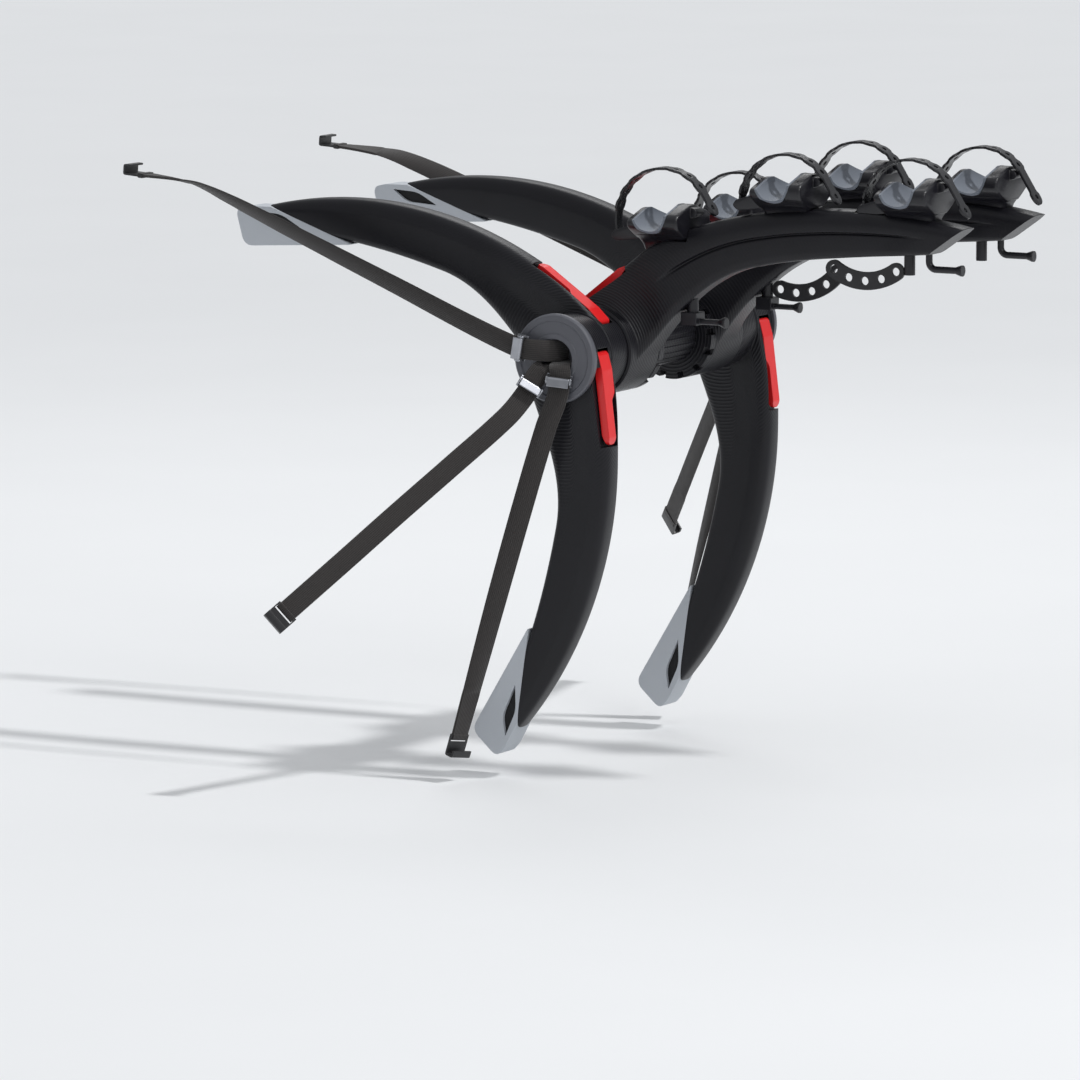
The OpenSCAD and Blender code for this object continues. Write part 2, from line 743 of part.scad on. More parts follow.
module hold_strap(rise, tail) {
  r = hold_r(rise);
  hole_first = 16;
  eye_share = 5 / r * 180 / PI;
  hole_step = (hold_end - 10 - hole_first) / (hold_hole_n - 1);
  color(rubber_black) difference() {
    union() {
      translate([0, anchor_y, anchor_z]) x_rod(eye_r, hold_w);
      translate([0, 0, rise]) ring_arc(r, hold_t, hold_w, hold_start(rise) + eye_share, hold_end);
      translate([0, 0, rise]) rotate([hold_end, 0, 0]) translate([0, r, 0]) hold_tail_piece(tail);
    }
    translate([0, anchor_y, anchor_z]) x_rod(anchor_d / 2 + run_clear, 2 * hold_w);
    translate([0, 0, rise]) for (i = [0:hold_hole_n - 1])
      rotate([hole_first + i * hole_step, 0, 0]) translate([0, r, 0])
        rotate([90, 0, 0]) cylinder(d = hold_hole_d, h = 4 * hold_t, center = true);
  }
}

module hold_tail_piece(straight) {
  sunk = 1;
  tail_w = hold_w - 2 * tiny;
  tail_t = hold_t - 2 * tiny;
  rotate([90, 0, 0]) difference() {
    union() {
      translate([-tail_w / 2, -sunk, -tail_t / 2]) cube([tail_w, straight + sunk, tail_t]);
      translate([0, straight, 0]) cylinder(d = tail_w, h = tail_t, center = true);
    }
    translate([0, straight, 0]) cylinder(d = hold_hole_d, h = 4 * hold_t, center = true);
  }
}

module hold_strap_left_1() { at_cradle(0) hold_strap(loose_rise, loose_tail); }
module tight_strap_1() { at_cradle(0) hold_strap(tight_rise, first_tail); }
module hold_strap_left_2() { at_cradle(1) hold_strap(tight_rise, middle_tail); }
module hold_strap_left_3() { at_cradle(2) hold_strap(tight_rise, last_tail); }

// Flared end of a peg, drawn from its stem along -Y
module peg_flare(stem_d) {
  flare_l = 7;
  rim_l = 2.5;
  rotate([90, 0, 0]) {
    cylinder(d1 = stem_d, d2 = peg_end_d, h = flare_l);
    translate([0, 0, flare_l]) cylinder(d = peg_end_d, h = rim_l);
  }
}

// Hooked peg: a stem down from the arm, a bend to the rear and a flared end
module hooked_peg(drop, reach) {
  arm_l = reach - peg_bend;
  translate([0, 0, peg_bend - drop]) cylinder(d = peg_d, h = drop - peg_bend + peg_socket_l - seat_clear);
  translate([0, -peg_bend, peg_bend - drop]) rotate([-90, 0, 0]) rotate([0, -90, 0])
    rotate_extrude(angle = 90) translate([peg_bend, 0]) circle(d = peg_d);
  translate([0, -peg_bend, -drop]) rotate([90, 0, 0]) cylinder(d = peg_d, h = arm_l);
  translate([0, -reach, -drop]) peg_flare(peg_d);
}

// Front bracket: a post in the arm, a block and its hooked peg
bracket_z = 33;
bracket_h = 15;
bracket_w = 22;
bracket_l = 20;
bracket_peg_d = peg_d - 1;
bracket_peg_l = 26;
bracket_peg_z = 4;
module front_bracket() {
  translate([0, front_peg_y, bracket_z]) {
    translate([-bracket_w / 2, -bracket_l / 2, 0]) cube([bracket_w, bracket_l, bracket_h]);
    cylinder(d = bracket_d, h = front_peg_z + peg_socket_l - seat_clear - bracket_z);
    translate([0, 1 - bracket_l / 2, bracket_peg_z]) {
      rotate([90, 0, 0]) cylinder(d = bracket_peg_d, h = bracket_peg_l);
      translate([0, -bracket_peg_l, 0]) peg_flare(bracket_peg_d);
    }
  }
}

module sway_pegs_left() {
  color(black_plastic) at_arm() {
    front_bracket();
    translate([0, stub_y, stub_z - stub_drop])
      cylinder(d = stub_d, h = stub_drop + peg_socket_l - seat_clear);
    translate([0, rear_peg_y, rear_peg_z]) hooked_peg(rear_peg_drop, rear_peg_reach);
  }
}

// Perforated sway strap: a flat band in the arm's plane, bowed down, with round ends and a row of holes.
// Its origin is the middle of its rear end.
sway_half = asin(sway_chord / 2 / sway_bow_r);
function sway_point(r, a) = [r * sin(a), -r * cos(a)];
module sway_outline() {
  steps = 10;
  angles = [for (i = [-steps:steps]) sway_half * i / steps];
  polygon(concat(
    [for (a = angles) sway_point(sway_bow_r + sway_w / 2, a)],
    [for (i = [2 * steps:-1:0]) sway_point(sway_bow_r - sway_w / 2, angles[i])]));
  for (s = [-1, 1])
    translate(sway_point(sway_bow_r, s * sway_half)) circle(d = sway_w);
}

module sway_band() {
  translate([0, sway_chord / 2, sway_bow_r * cos(sway_half)]) slab(sway_t) difference() {
    sway_outline();
    for (i = [0:sway_hole_n - 1])
      translate(sway_point(sway_bow_r, sway_half * (2 * i / (sway_hole_n - 1) - 1))) circle(d = sway_hole_d);
  }
}

// The left band hangs ahead of the rear stub, the right one behind the front bracket's post
sway_end = sway_w / 2 + seat_clear;
module sway_strap_left() {
  over_stub = 3;
  color(rubber_black) at_arm()
    translate([0, stub_y + stub_d / 2 + sway_end, stub_z - stub_drop + over_stub]) sway_band();
}

module sway_strap_right() {
  slope = -17;
  over_bracket = 10;
  color(rubber_black) right() at_arm()
    translate([0, front_peg_y - bracket_d / 2 - sway_end, bracket_z + bracket_h + over_bracket])
      rotate([slope, 0, 0]) translate([0, -sway_chord, 0]) sway_band();
}

// Tie-down webbing: a flat band along hand-chosen points, with its width's direction at each point.
// X is measured from the tube's end, so the routes move with it.
web_from = cap_plug_l - cap_web_t - seat_clear;
top_route = [[web_from, -3, 9], [3, -1, 9], [-9, 5, 9.5], [-15, 15, 10], [-19, 30, 11],
  [-20, 46, 14], [-20, 105, 36], [-19, 200, 75], [-17, 283, 108], [-15, 366, 141], [-13, 422, 163],
  [-11, 455, 175], [-9, 480, 183], [-7, 504, 187.5], [-6, 528, 190], [-5, 555, 192]];
top_width = [[0, 0, 1], [0, 0, 1], [0, 0, 1], [0, 0, 1], [-0.05, -0.2, 1],
  [-0.1, -0.3, 1], [-0.2, -0.3, 0.95], [-0.35, -0.3, 0.9], [-0.45, -0.3, 0.85], [-0.55, -0.3, 0.75],
  [-0.65, -0.25, 0.65], [-0.75, -0.2, 0.55], [-0.85, -0.15, 0.4], [-0.95, -0.05, 0.2], [-1, 0, 0.1], [-1, 0, 0]];
side_route = [[web_from, 7, -8.2], [3, 7, -8.6], [-9.5, 7.5, -9.8], [-16, 14, -14.5], [-22, 19, -24],
  [-33, 25, -41], [-55, 38, -66], [-105, 84, -121], [-155, 130, -175], [-205, 176, -230], [-252, 219, -281]];
side_width = [[0, 1, 0], [0, 1, 0], [0, 1, 0.1], [-0.15, 0.75, 0.6], [-0.25, 0.65, 0.72],
  [-0.25, 0.65, 0.72], [-0.25, 0.65, 0.72], [-0.25, 0.65, 0.72], [-0.25, 0.65, 0.72], [-0.25, 0.65, 0.72],
  [-0.25, 0.65, 0.72]];
bottom_route = [[web_from, -8.5, -4.8], [3, -8.5, -5], [-9.5, -8.5, -5.6], [-14, -10.5, -9], [-15.5, -12, -15],
  [-17.5, -9.5, -42], [-21, 4, -80], [-27, 33, -178], [-32, 64, -286], [-37, 94, -394], [-40, 109, -448]];
bottom_width = [[0, 1, 0], [0, 1, 0], [0, 1, 0], [-0.15, 1, 0.1], [-0.28, 0.97, 0.2],
  [-0.28, 0.97, 0.2], [-0.35, 0.93, 0.25], [-0.5, 0.85, 0.23], [-0.7, 0.7, 0.2], [-0.88, 0.45, 0.12],
  [-0.95, 0.3, 0.08]];

module at_end() {
  translate([-tube_half, 0, 0]) children();
}

function route_dir(p, i) = unit(p[min(len(p) - 1, i + 1)] - p[max(0, i - 1)]);
function square_to(w, d) = unit(w - (w * d) * d);
function web_ring(p, w, i) = let(
    d = i == 0 ? [-1, 0, 0] : route_dir(p, i), x = square_to(w[i], d), y = cross(d, x)
  ) [for (c = [[-1, -1], [1, -1], [1, 1], [-1, 1]]) p[i] + x * c[0] * web_w / 2 + y * c[1] * web_t / 2];

module web_band(route, width) {
  color(webbing_brown) at_end() skin([for (i = [0:len(route) - 1]) web_ring(route, width, i)]);
}

module top_strap_left() { web_band(top_route, top_width); }
module side_strap_left() { web_band(side_route, side_width); }
module bottom_strap_left() { web_band(bottom_route, bottom_width); }

// A frame on a strap: X across it, Z along it towards its hook, Y out of its outer face
module on_web(origin, along, across, flip) {
  x = square_to(across, along) * flip;
  y = cross(along, x);
  multmatrix([
    [x[0], y[0], along[0], origin[0]],
    [x[1], y[1], along[1], origin[1]],
    [x[2], y[2], along[2], origin[2]],
    [0, 0, 0, 1]]) children();
}

// A buckle lies on one straight stretch of its route, a little past the stretch's start
module buckle_place(route, width, from, past) {
  along = unit(route[from + 1] - route[from]);
  at_end() on_web(route[from] + past * along, along, width[from], -1) children();
}

module top_buckle_place() { buckle_place(top_route, top_width, 4, 8) children(); }
module side_buckle_place() { buckle_place(side_route, side_width, 4, 9) children(); }
module bottom_buckle_place() { buckle_place(bottom_route, bottom_width, 4, 9) children(); }

module each_buckle_left() {
  top_buckle_place() children();
  side_buckle_place() children();
  bottom_buckle_place() children();
}

// Cam buckle: a base under the webbing, two cheeks and the cam between them
cheek_x = web_w / 2 + 0.7;
cam_axle_d = 3;
cam_drum_r = 3.8;
cam_y = web_t / 2 + 0.5 + cam_drum_r;

module buckle_frame() {
  base_y = -web_t / 2 - 2 * seat_clear - buckle_t;
  difference() {
    union() {
      translate([-cheek_x - buckle_t, base_y, -buckle_l / 2])
        cube([2 * (cheek_x + buckle_t), buckle_t, buckle_l]);
      for (s = [-1, 1])
        translate([s * (cheek_x + buckle_t / 2), base_y, 0])
          slab(buckle_t) polygon(rounded([
            [0, -buckle_l / 2], [buckle_h + buckle_t, -buckle_l / 4],
            [buckle_h + buckle_t, buckle_l / 4], [0, buckle_l / 2]
          ], [0, 3, 3, 0]));
    }
    translate([0, cam_y, 0]) x_rod(cam_axle_d / 2 + run_clear, 4 * web_w);
  }
}

module buckle_frames() {
  color(steel) {
    each_buckle_left() buckle_frame();
    right() each_buckle_left() buckle_frame();
  }
}

module buckle_cam() {
  tab_l = 8;
  tab_t = 2.2;
  side_room = 0.4;
  color(steel) translate([0, cam_y, 0]) {
    x_rod(cam_drum_r, 2 * (cheek_x - side_room));
    x_rod(cam_axle_d / 2, 2 * (cheek_x + buckle_t - side_room));
    slab(2 * (cheek_x - side_room)) polygon(rounded([
      [cam_drum_r - tab_t, 0], [cam_drum_r - tab_t, tab_l - 3], [cam_drum_r, tab_l],
      [cam_drum_r + 1.2, tab_l - 1], [cam_drum_r, 0]
    ], [0, 4, 0.5, 0.5, 0]));
  }
}

module top_buckle_cam_left() { top_buckle_place() buckle_cam(); }
module side_buckle_cam_left() { side_buckle_place() buckle_cam(); }
module bottom_buckle_cam_left() { bottom_buckle_place() buckle_cam(); }

// Flat hook at the end of each strap: a slotted plate with a turned lip
module web_hook() {
  plate_w = web_w + 4;
  slot_l = 4;
  slot_from = 5;
  lip_back = 9;
  difference() {
    translate([0, 0, seat_clear]) slab(plate_w) polygon(rounded([
      [hook_t / 2, 0], [hook_t / 2, hook_l], [-hook_lip, hook_l], [-hook_lip, hook_l - lip_back],
      [hook_t - hook_lip, hook_l - lip_back], [hook_t - hook_lip, hook_l - hook_t],
      [-hook_t / 2, hook_l - hook_t], [-hook_t / 2, 0]
    ], [0, 3, 3, 0, 0, 1, 1, 0]));
    translate([-web_w / 2 - 0.5, -hook_t, slot_from]) cube([web_w + 1, 2 * hook_t, slot_l]);
  }
}

module hook_place(route, width, flip) {
  last = len(route) - 1;
  at_end() on_web(route[last], route_dir(route, last), width[last], flip) web_hook();
}

module hooks_left() {
  hook_place(top_route, top_width, -1);
  hook_place(side_route, side_width, 1);
  hook_place(bottom_route, bottom_width, 1);
}

module strap_hooks() {
  color(rubber_black) {
    hooks_left();
    right() hooks_left();
  }
}

main_tube();
stop_rings();
end_cap_left();
right() end_cap_left();  // end_cap_right
lower_leg_left();
right() lower_leg_left();  // lower_leg_right
upper_leg_left();
right() upper_leg_left();  // upper_leg_right
arm_left();
right() arm_left();  // arm_right
lower_lever_left();
right() lower_lever_left();  // lower_lever_right
upper_lever_left();
right() upper_lever_left();  // upper_lever_right
arm_lever_left();
right() arm_lever_left();  // arm_lever_right
lower_lever_pin_left();
right() lower_lever_pin_left();  // lower_lever_pin_right
upper_lever_pin_left();
right() upper_lever_pin_left();  // upper_lever_pin_right
arm_lever_pin_left();
right() arm_lever_pin_left();  // arm_lever_pin_right
lower_clamp_shoe_left();
right() lower_clamp_shoe_left();  // lower_clamp_shoe_right
upper_clamp_shoe_left();
right() upper_clamp_shoe_left();  // upper_clamp_shoe_right
arm_clamp_shoe_left();
right() arm_clamp_shoe_left();  // arm_clamp_shoe_right
lower_foot_left();
right() lower_foot_left();  // lower_foot_right
upper_foot_left();
right() upper_foot_left();  // upper_foot_right
cradles_left();
right() cradles_left();  // cradles_right
cradle_pads_left();
right() cradle_pads_left();  // cradle_pads_right
hold_strap_left_1();
hold_strap_left_2();
hold_strap_left_3();
right() tight_strap_1();  // hold_strap_right_1
right() hold_strap_left_2();  // hold_strap_right_2
right() hold_strap_left_3();  // hold_strap_right_3
sway_pegs_left();
right() sway_pegs_left();  // sway_pegs_right
sway_strap_left();
sway_strap_right();
top_strap_left();
right() top_strap_left();  // top_strap_right
side_strap_left();
right() side_strap_left();  // side_strap_right
bottom_strap_left();
right() bottom_strap_left();  // bottom_strap_right
buckle_frames();
top_buckle_cam_left();
right() top_buckle_cam_left();  // top_buckle_cam_right
side_buckle_cam_left();
right() side_buckle_cam_left();  // side_buckle_cam_right
bottom_buckle_cam_left();
right() bottom_buckle_cam_left();  // bottom_buckle_cam_right
strap_hooks();
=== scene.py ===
"""Looks of a strap-on cycle carrier: smooth limbs, rubber, webbing, steel and a plain studio."""

import math

import bmesh
import bpy
from mathutils import Matrix, Vector


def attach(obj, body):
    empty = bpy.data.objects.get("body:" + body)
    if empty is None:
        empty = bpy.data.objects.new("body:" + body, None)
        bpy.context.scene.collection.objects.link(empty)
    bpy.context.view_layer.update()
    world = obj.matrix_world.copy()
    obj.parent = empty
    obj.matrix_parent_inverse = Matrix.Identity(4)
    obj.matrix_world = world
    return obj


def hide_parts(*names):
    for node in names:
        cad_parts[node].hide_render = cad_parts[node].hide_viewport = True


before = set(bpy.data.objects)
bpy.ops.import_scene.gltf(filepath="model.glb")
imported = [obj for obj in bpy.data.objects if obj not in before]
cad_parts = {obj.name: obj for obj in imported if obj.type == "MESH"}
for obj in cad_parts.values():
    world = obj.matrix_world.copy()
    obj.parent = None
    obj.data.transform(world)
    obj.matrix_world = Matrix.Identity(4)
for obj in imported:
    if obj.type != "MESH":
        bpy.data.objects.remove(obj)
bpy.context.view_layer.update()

bl_info = {
    "name": "Cycle carrier looks",
    "version": (1, 0, 0),
    "blender": (4, 5, 0),
    "location": "View3D > Sidebar > Carrier",
    "description": "Builds the visible pieces of a strap-on cycle carrier round its packed frame",
    "category": "Object",
}

MM = 0.001
SIDES = (("left", 1.0), ("right", -1.0))

# Planes along X and sizes of the frame, in millimetres, as in the part's source
HUB_R, ARM_HUB_R = 50.0, 53.5
BORE_R = 32.08
BARE_L, RING_W, ARM_HUB_W, LEG_W, HUB_GAP, SEAT_CLEAR = 122.0, 12.0, 73.0, 42.0, 0.6, 0.3
ARM_INSET, ARM_HALF_W = 3.5, 21.0
ARM_START = BARE_L / 2 + RING_W
ARM_HUB_X = ARM_START + ARM_HUB_W / 2
ARM_X = ARM_START + ARM_INSET + ARM_HALF_W
UPPER_X = ARM_START + ARM_HUB_W + LEG_W / 2
LOWER_X = UPPER_X + LEG_W
TUBE_HALF = LOWER_X + LEG_W / 2
LOWER_TURN, UPPER_TURN = -15.0, -47.0
NUDGE = 0.01

# Camera as in the photograph, in metres and degrees
CAMERA_AT = Vector((-8.4305, -4.4110, 1.0394))
CAMERA_HEADING, CAMERA_TILT = 28.4, 7.67
CAMERA_LENS, CAMERA_SENSOR, CAMERA_FAR = 266.67, 36.0, 100.0
FLOOR_Z, FLOOR_REACH = -505.0, 60000.0

# Leg
LEG_ARC_R, LEG_DEPTH, LEG_TAPER, LEG_FLARE, LEG_END = 500.0, 62.0, 8.3, 26.0, 58.0
ROOT_SINK = 0.4
LEG_CENTRE = LEG_ARC_R - HUB_R + ROOT_SINK
FOOT_START, FOOT_SLANT, FOOT_W = 44.0, 23.0, 38.0
FOOT_L, FOOT_REACH = 163.0, 58.0
FOOT_TOP = 0.086 * FOOT_L

# Lever seats
PIN_SINK, LEVER_TILT, LEVER_LEAN = 5.4, 12.0, 4.0
LEVER_W, LEVER_SIDE, LEVER_UNDER = 25.0, 0.4, 2.5
LEG_LEVER_L, ARM_LEVER_L, FINGER_ROOM, SHOE_POCKET, SIDE_OPEN_FROM = 104.0, 81.0, 2.0, 9.4, 12.0

# Arm
ARM_ROOT_R, ARM_LEVER_A, ARM_ROOT_L = 62.0, 52.0, 114.0
ARM_TIP = Vector((-470.0, 163.0))
ARM_CHIN = ARM_TIP + Vector((45.0, -32.0))
PANEL_DEPTH = 3.0

# Cradles and their straps
CRADLE_FIRST, CRADLE_PITCH, CRADLE_LIFT, CRADLE_FLOOR = 73.0, 161.0, 13.0, 12.0
CRADLE_REAR, CRADLE_FRONT = 38.0, 29.0
CHANNEL_R, LINING_T, REAR_JAW_H, FRONT_JAW_H = 20.0, 3.0, 31.0, 25.0
ANCHOR = Vector((59.0, -8.5))
TIGHT_RISE, LOOSE_RISE, HOLD_END = -7.0, 10.0, 148.0
HOLD_W, HOLD_T, HOLD_EDGE_R, EYE_R = 20.0, 3.2, 0.5, 6.5
HOLE_R, HOLE_N, HOLES_FROM, HOLES_SHORT = 3.5, 8, 16.0, 10.0
ANCHOR_R, ANCHOR_HOLE_R = 3.0, 3.08
EAR_X, EAR_HALF_T = 12.3, 2.0
ROOM_CLEAR, EAR_ROOM_W, EAR_ROOM_TO, EAR_ROOM_DROP, ROOM_TOP = 0.3, 14.6, 66.5, 16.0, 100.0
CRADLE_N = 3

# Tie-down webbing: points from the tube's end outwards, and the way its width lies at each point
WEB_W, WEB_T, WEB_FROM, FOLD_L = 25.0, 1.6, 21.7, 55.0
ROUTES = {
    "top": [(WEB_FROM, -3, 9), (3, -1, 9), (-9, 5, 9.5), (-15, 15, 10), (-19, 30, 11),
            (-20, 46, 14), (-20, 105, 36), (-19, 200, 75), (-17, 283, 108), (-15, 366, 141), (-13, 422, 163),
            (-11, 455, 175), (-9, 480, 183), (-7, 504, 187.5), (-6, 528, 190), (-5, 555, 192)],
    "side": [(WEB_FROM, 7, -8.2), (3, 7, -8.6), (-9.5, 7.5, -9.8), (-16, 14, -14.5), (-22, 19, -24),
             (-33, 25, -41), (-55, 38, -66), (-105, 84, -121), (-155, 130, -175), (-205, 176, -230),
             (-252, 219, -281)],
    "bottom": [(WEB_FROM, -8.5, -4.8), (3, -8.5, -5), (-9.5, -8.5, -5.6), (-14, -10.5, -9), (-15.5, -12, -15),
               (-17.5, -9.5, -42), (-21, 4, -80), (-27, 33, -178), (-32, 64, -286), (-37, 94, -394),
               (-40, 109, -448)],
}
WIDTHS = {
    "top": [(0, 0, 1), (0, 0, 1), (0, 0, 1), (0, 0, 1), (-0.05, -0.2, 1),
            (-0.1, -0.3, 1), (-0.2, -0.3, 0.95), (-0.35, -0.3, 0.9), (-0.45, -0.3, 0.85), (-0.55, -0.3, 0.75),
            (-0.65, -0.25, 0.65), (-0.75, -0.2, 0.55), (-0.85, -0.15, 0.4), (-0.95, -0.05, 0.2), (-1, 0, 0.1),
            (-1, 0, 0)],
    "side": [(0, 1, 0), (0, 1, 0), (0, 1, 0.1), (-0.15, 0.75, 0.6)] + [(-0.25, 0.65, 0.72)] * 7,
    "bottom": [(0, 1, 0), (0, 1, 0), (0, 1, 0), (-0.15, 1, 0.1), (-0.28, 0.97, 0.2),
               (-0.28, 0.97, 0.2), (-0.35, 0.93, 0.25), (-0.5, 0.85, 0.23), (-0.7, 0.7, 0.2),
               (-0.88, 0.45, 0.12), (-0.95, 0.3, 0.08)],
}
HOOK_L, HOOK_T, HOOK_LIP, HOOK_LIP_L, HOOK_W = 26.0, 2.4, 12.0, 9.0, 29.0
HOOK_GAP, HOOK_SLOT_FROM, HOOK_SLOT_TO, HOOK_SLOT_ROOM = 0.3, 5.0, 9.0, 0.5


# Small helpers
def mix(a, b, t):
    return a + (b - a) * t


def ease(t):
    return (1 - math.cos(math.pi * min(1.0, max(0.0, t)))) / 2


def bezier(p, t):
    return p[0] * (1 - t) ** 3 + p[1] * (3 * t * (1 - t) ** 2) + p[2] * (3 * t * t * (1 - t)) + p[3] * t ** 3


def turn_x(deg):
    return Matrix.Rotation(math.radians(deg), 4, "X")


def move(x, y, z):
    return Matrix.Translation((x, y, z))


def box(y0, z0, y1, z1):
    """Outline of a rectangle between two corners."""
    return [Vector(p) for p in ((y0, z0), (y1, z0), (y1, z1), (y0, z1))]


def shade(colour, share):
    return tuple(share * c for c in colour)


def soft_corners(points, setbacks, steps=4):
    """Closed outline with each corner replaced by a short curve that starts setback away from it."""
    n = len(points)
    out = []
    for i, b in enumerate(points):
        a, c = points[i - 1], points[(i + 1) % n]
        la = min(setbacks[i], 0.45 * (a - b).length)
        lc = min(setbacks[i], 0.45 * (c - b).length)
        p, q = b + (a - b).normalized() * la, b + (c - b).normalized() * lc
        for k in range(steps + 1):
            t = k / steps
            out.append(p * (1 - t) ** 2 + b * (2 * t * (1 - t)) + q * t * t)
    return out


def make_mesh(name, verts, faces):
    """Object at the origin from points in millimetres."""
    mesh = bpy.data.meshes.new(name)
    mesh.from_pydata([tuple(MM * c for c in v) for v in verts], [], faces)
    bm = bmesh.new()
    bm.from_mesh(mesh)
    bmesh.ops.recalc_face_normals(bm, faces=bm.faces)
    bm.to_mesh(mesh)
    bm.free()
    obj = bpy.data.objects.new(name, mesh)
    bpy.context.scene.collection.objects.link(obj)
    return obj


def skin(name, rings):
    """Closed skin over rings of points."""
    n = len(rings[0])
    verts = [p for ring in rings for p in ring]
    faces = []
    for i in range(len(rings) - 1):
        for j in range(n):
            k = (j + 1) % n
            faces.append((i * n + j, i * n + k, (i + 1) * n + k, (i + 1) * n + j))
    faces.append(tuple(range(n - 1, -1, -1)))
    faces.append(tuple((len(rings) - 1) * n + j for j in range(n)))
    return make_mesh(name, verts, faces)


def prism(name, outline, half, matrix):
    """Outline in Y and Z, extruded along X to both sides."""
    rings = [[matrix @ Vector((x, p[0], p[1])) for p in outline] for x in (-half, half)]
    return skin(name, rings)


def rod(name, r, half, matrix, sides=96):
    ring = [Vector((r * math.cos(2 * math.pi * i / sides), r * math.sin(2 * math.pi * i / sides)))
            for i in range(sides)]
    return prism(name, ring, half, matrix)


def bake(obj):
    """Applies the modifiers of a new piece to its mesh."""
    graph = bpy.context.evaluated_depsgraph_get()
    mesh = bpy.data.meshes.new_from_object(obj.evaluated_get(graph))
    obj.modifiers.clear()
    old = obj.data
    obj.data = mesh
    bpy.data.meshes.remove(old)


def cut(obj, tool):
    """Takes one piece out of another and removes the tool."""
    mod = obj.modifiers.new("cut", "BOOLEAN")
    mod.operation = "DIFFERENCE"
    mod.solver = "EXACT"
    mod.object = tool
    bake(obj)
    bpy.data.objects.remove(tool)


def smooth(obj, degrees=32.0):
    for poly in obj.data.polygons:
        poly.use_smooth = True
    obj.data.set_sharp_from_angle(angle=math.radians(degrees))


def soft_edges(obj, width, segments=3, degrees=35.0):
    """Rounds a new piece's sharp edges."""
    mod = obj.modifiers.new("round", "BEVEL")
    mod.width = width * MM
    mod.segments = segments
    mod.limit_method = "ANGLE"
    mod.angle_limit = math.radians(degrees)
    bake(obj)


def join(objs, name):
    """Joins new pieces into the first."""
    bm = bmesh.new()
    for o in objs:
        bm.from_mesh(o.data)
    bm.to_mesh(objs[0].data)
    bm.free()
    for o in objs[1:]:
        bpy.data.objects.remove(o)
    objs[0].name = name
    return objs[0]


def mirror(obj):
    """Turns a left piece into its right twin."""
    obj.data.transform(Matrix.Scale(-1, 4, (1, 0, 0)))
    obj.data.flip_normals()


def placed(obj, name, matrix, sign):
    """Copy of a piece at its place in millimetres, mirrored across the tube's middle for the right."""
    copy = obj.copy()
    copy.data = obj.data.copy()
    copy.name = name
    scaled = matrix.copy()
    scaled.translation *= MM
    copy.data.transform(scaled)
    if sign < 0:
        mirror(copy)
    bpy.context.scene.collection.objects.link(copy)
    return copy


def dress(obj, material, body, *nodes, slot=None):
    """Gives a new piece its material, the body it rides on and the nodes it stands for."""
    obj.data.materials.clear()
    obj.data.materials.append(material)
    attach(obj, body)
    if nodes:
        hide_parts(*nodes)


def paint(name, material):
    """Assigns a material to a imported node."""
    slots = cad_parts[name].material_slots
    for s in slots:
        s.link = "OBJECT"
        s.material = material


# Shader parts
def group(name, inputs, outputs):
    tree = bpy.data.node_groups.new(name, "ShaderNodeTree")
    for label, kind, value in inputs:
        sock = tree.interface.new_socket(label, in_out="INPUT", socket_type=kind)
        if value is not None:
            sock.default_value = value
    for label, kind in outputs:
        tree.interface.new_socket(label, in_out="OUTPUT", socket_type=kind)
    return tree, tree.nodes.new("NodeGroupInput"), tree.nodes.new("NodeGroupOutput")


def node(tree, kind, **settings):
    made = tree.nodes.new(kind)
    for key, value in settings.items():
        setattr(made, key, value)
    return made


def math_node(tree, operation, a, b=None):
    made = node(tree, "ShaderNodeMath", operation=operation)
    for i, value in enumerate((a, b)):
        if value is None:
            continue
        if isinstance(value, (int, float)):
            made.inputs[i].default_value = value
        else:
            tree.links.new(value, made.inputs[i])
    return made.outputs[0]


def map_range(tree, value, start, end, low, high, kind="SMOOTHSTEP"):
    made = node(tree, "ShaderNodeMapRange", interpolation_type=kind)
    tree.links.new(value, made.inputs["Value"])
    for key, number in (("From Min", start), ("From Max", end), ("To Min", low), ("To Max", high)):
        made.inputs[key].default_value = number
    return made.outputs["Result"]


def contour_group():
    """Fine moulded lines where a field crosses whole periods."""
    inputs = [("Field", "NodeSocketFloat", 0.0), ("Period", "NodeSocketFloat", 0.003)]
    tree, gin, gout = group("contour_lines", inputs, [("Line", "NodeSocketFloat")])
    share = math_node(tree, "DIVIDE", gin.outputs["Field"], gin.outputs["Period"])
    wave = math_node(tree, "SINE", math_node(tree, "MULTIPLY", share, 2 * math.pi))
    half = math_node(tree, "MULTIPLY", math_node(tree, "ADD", wave, 1.0), 0.5)
    line = math_node(tree, "POWER", half, 2.0)
    tree.links.new(line, gout.inputs["Line"])
    return tree


def speckle_group():
    """Uneven tone and fine grain from two noises."""
    tree, gin, gout = group("speckle", [("Dark", "NodeSocketColor", None), ("Light", "NodeSocketColor", None),
                                        ("Scale", "NodeSocketFloat", 40.0)],
                            [("Color", "NodeSocketColor"), ("Grain", "NodeSocketFloat")])
    coord = node(tree, "ShaderNodeTexCoord")
    broad = node(tree, "ShaderNodeTexNoise")
    broad.inputs["Detail"].default_value = 4.0
    tree.links.new(coord.outputs["Object"], broad.inputs["Vector"])
    tree.links.new(gin.outputs["Scale"], broad.inputs["Scale"])
    fine = node(tree, "ShaderNodeTexNoise")
    fine.inputs["Scale"].default_value = 1400.0
    fine.inputs["Detail"].default_value = 2.0
    tree.links.new(coord.outputs["Object"], fine.inputs["Vector"])
    blend = node(tree, "ShaderNodeMix", data_type="RGBA")
    tree.links.new(broad.outputs["Fac"], blend.inputs["Factor"])
    tree.links.new(gin.outputs["Dark"], blend.inputs["A"])
    tree.links.new(gin.outputs["Light"], blend.inputs["B"])
    tree.links.new(blend.outputs["Result"], gout.inputs["Color"])
    tree.links.new(fine.outputs["Fac"], gout.inputs["Grain"])
    return tree


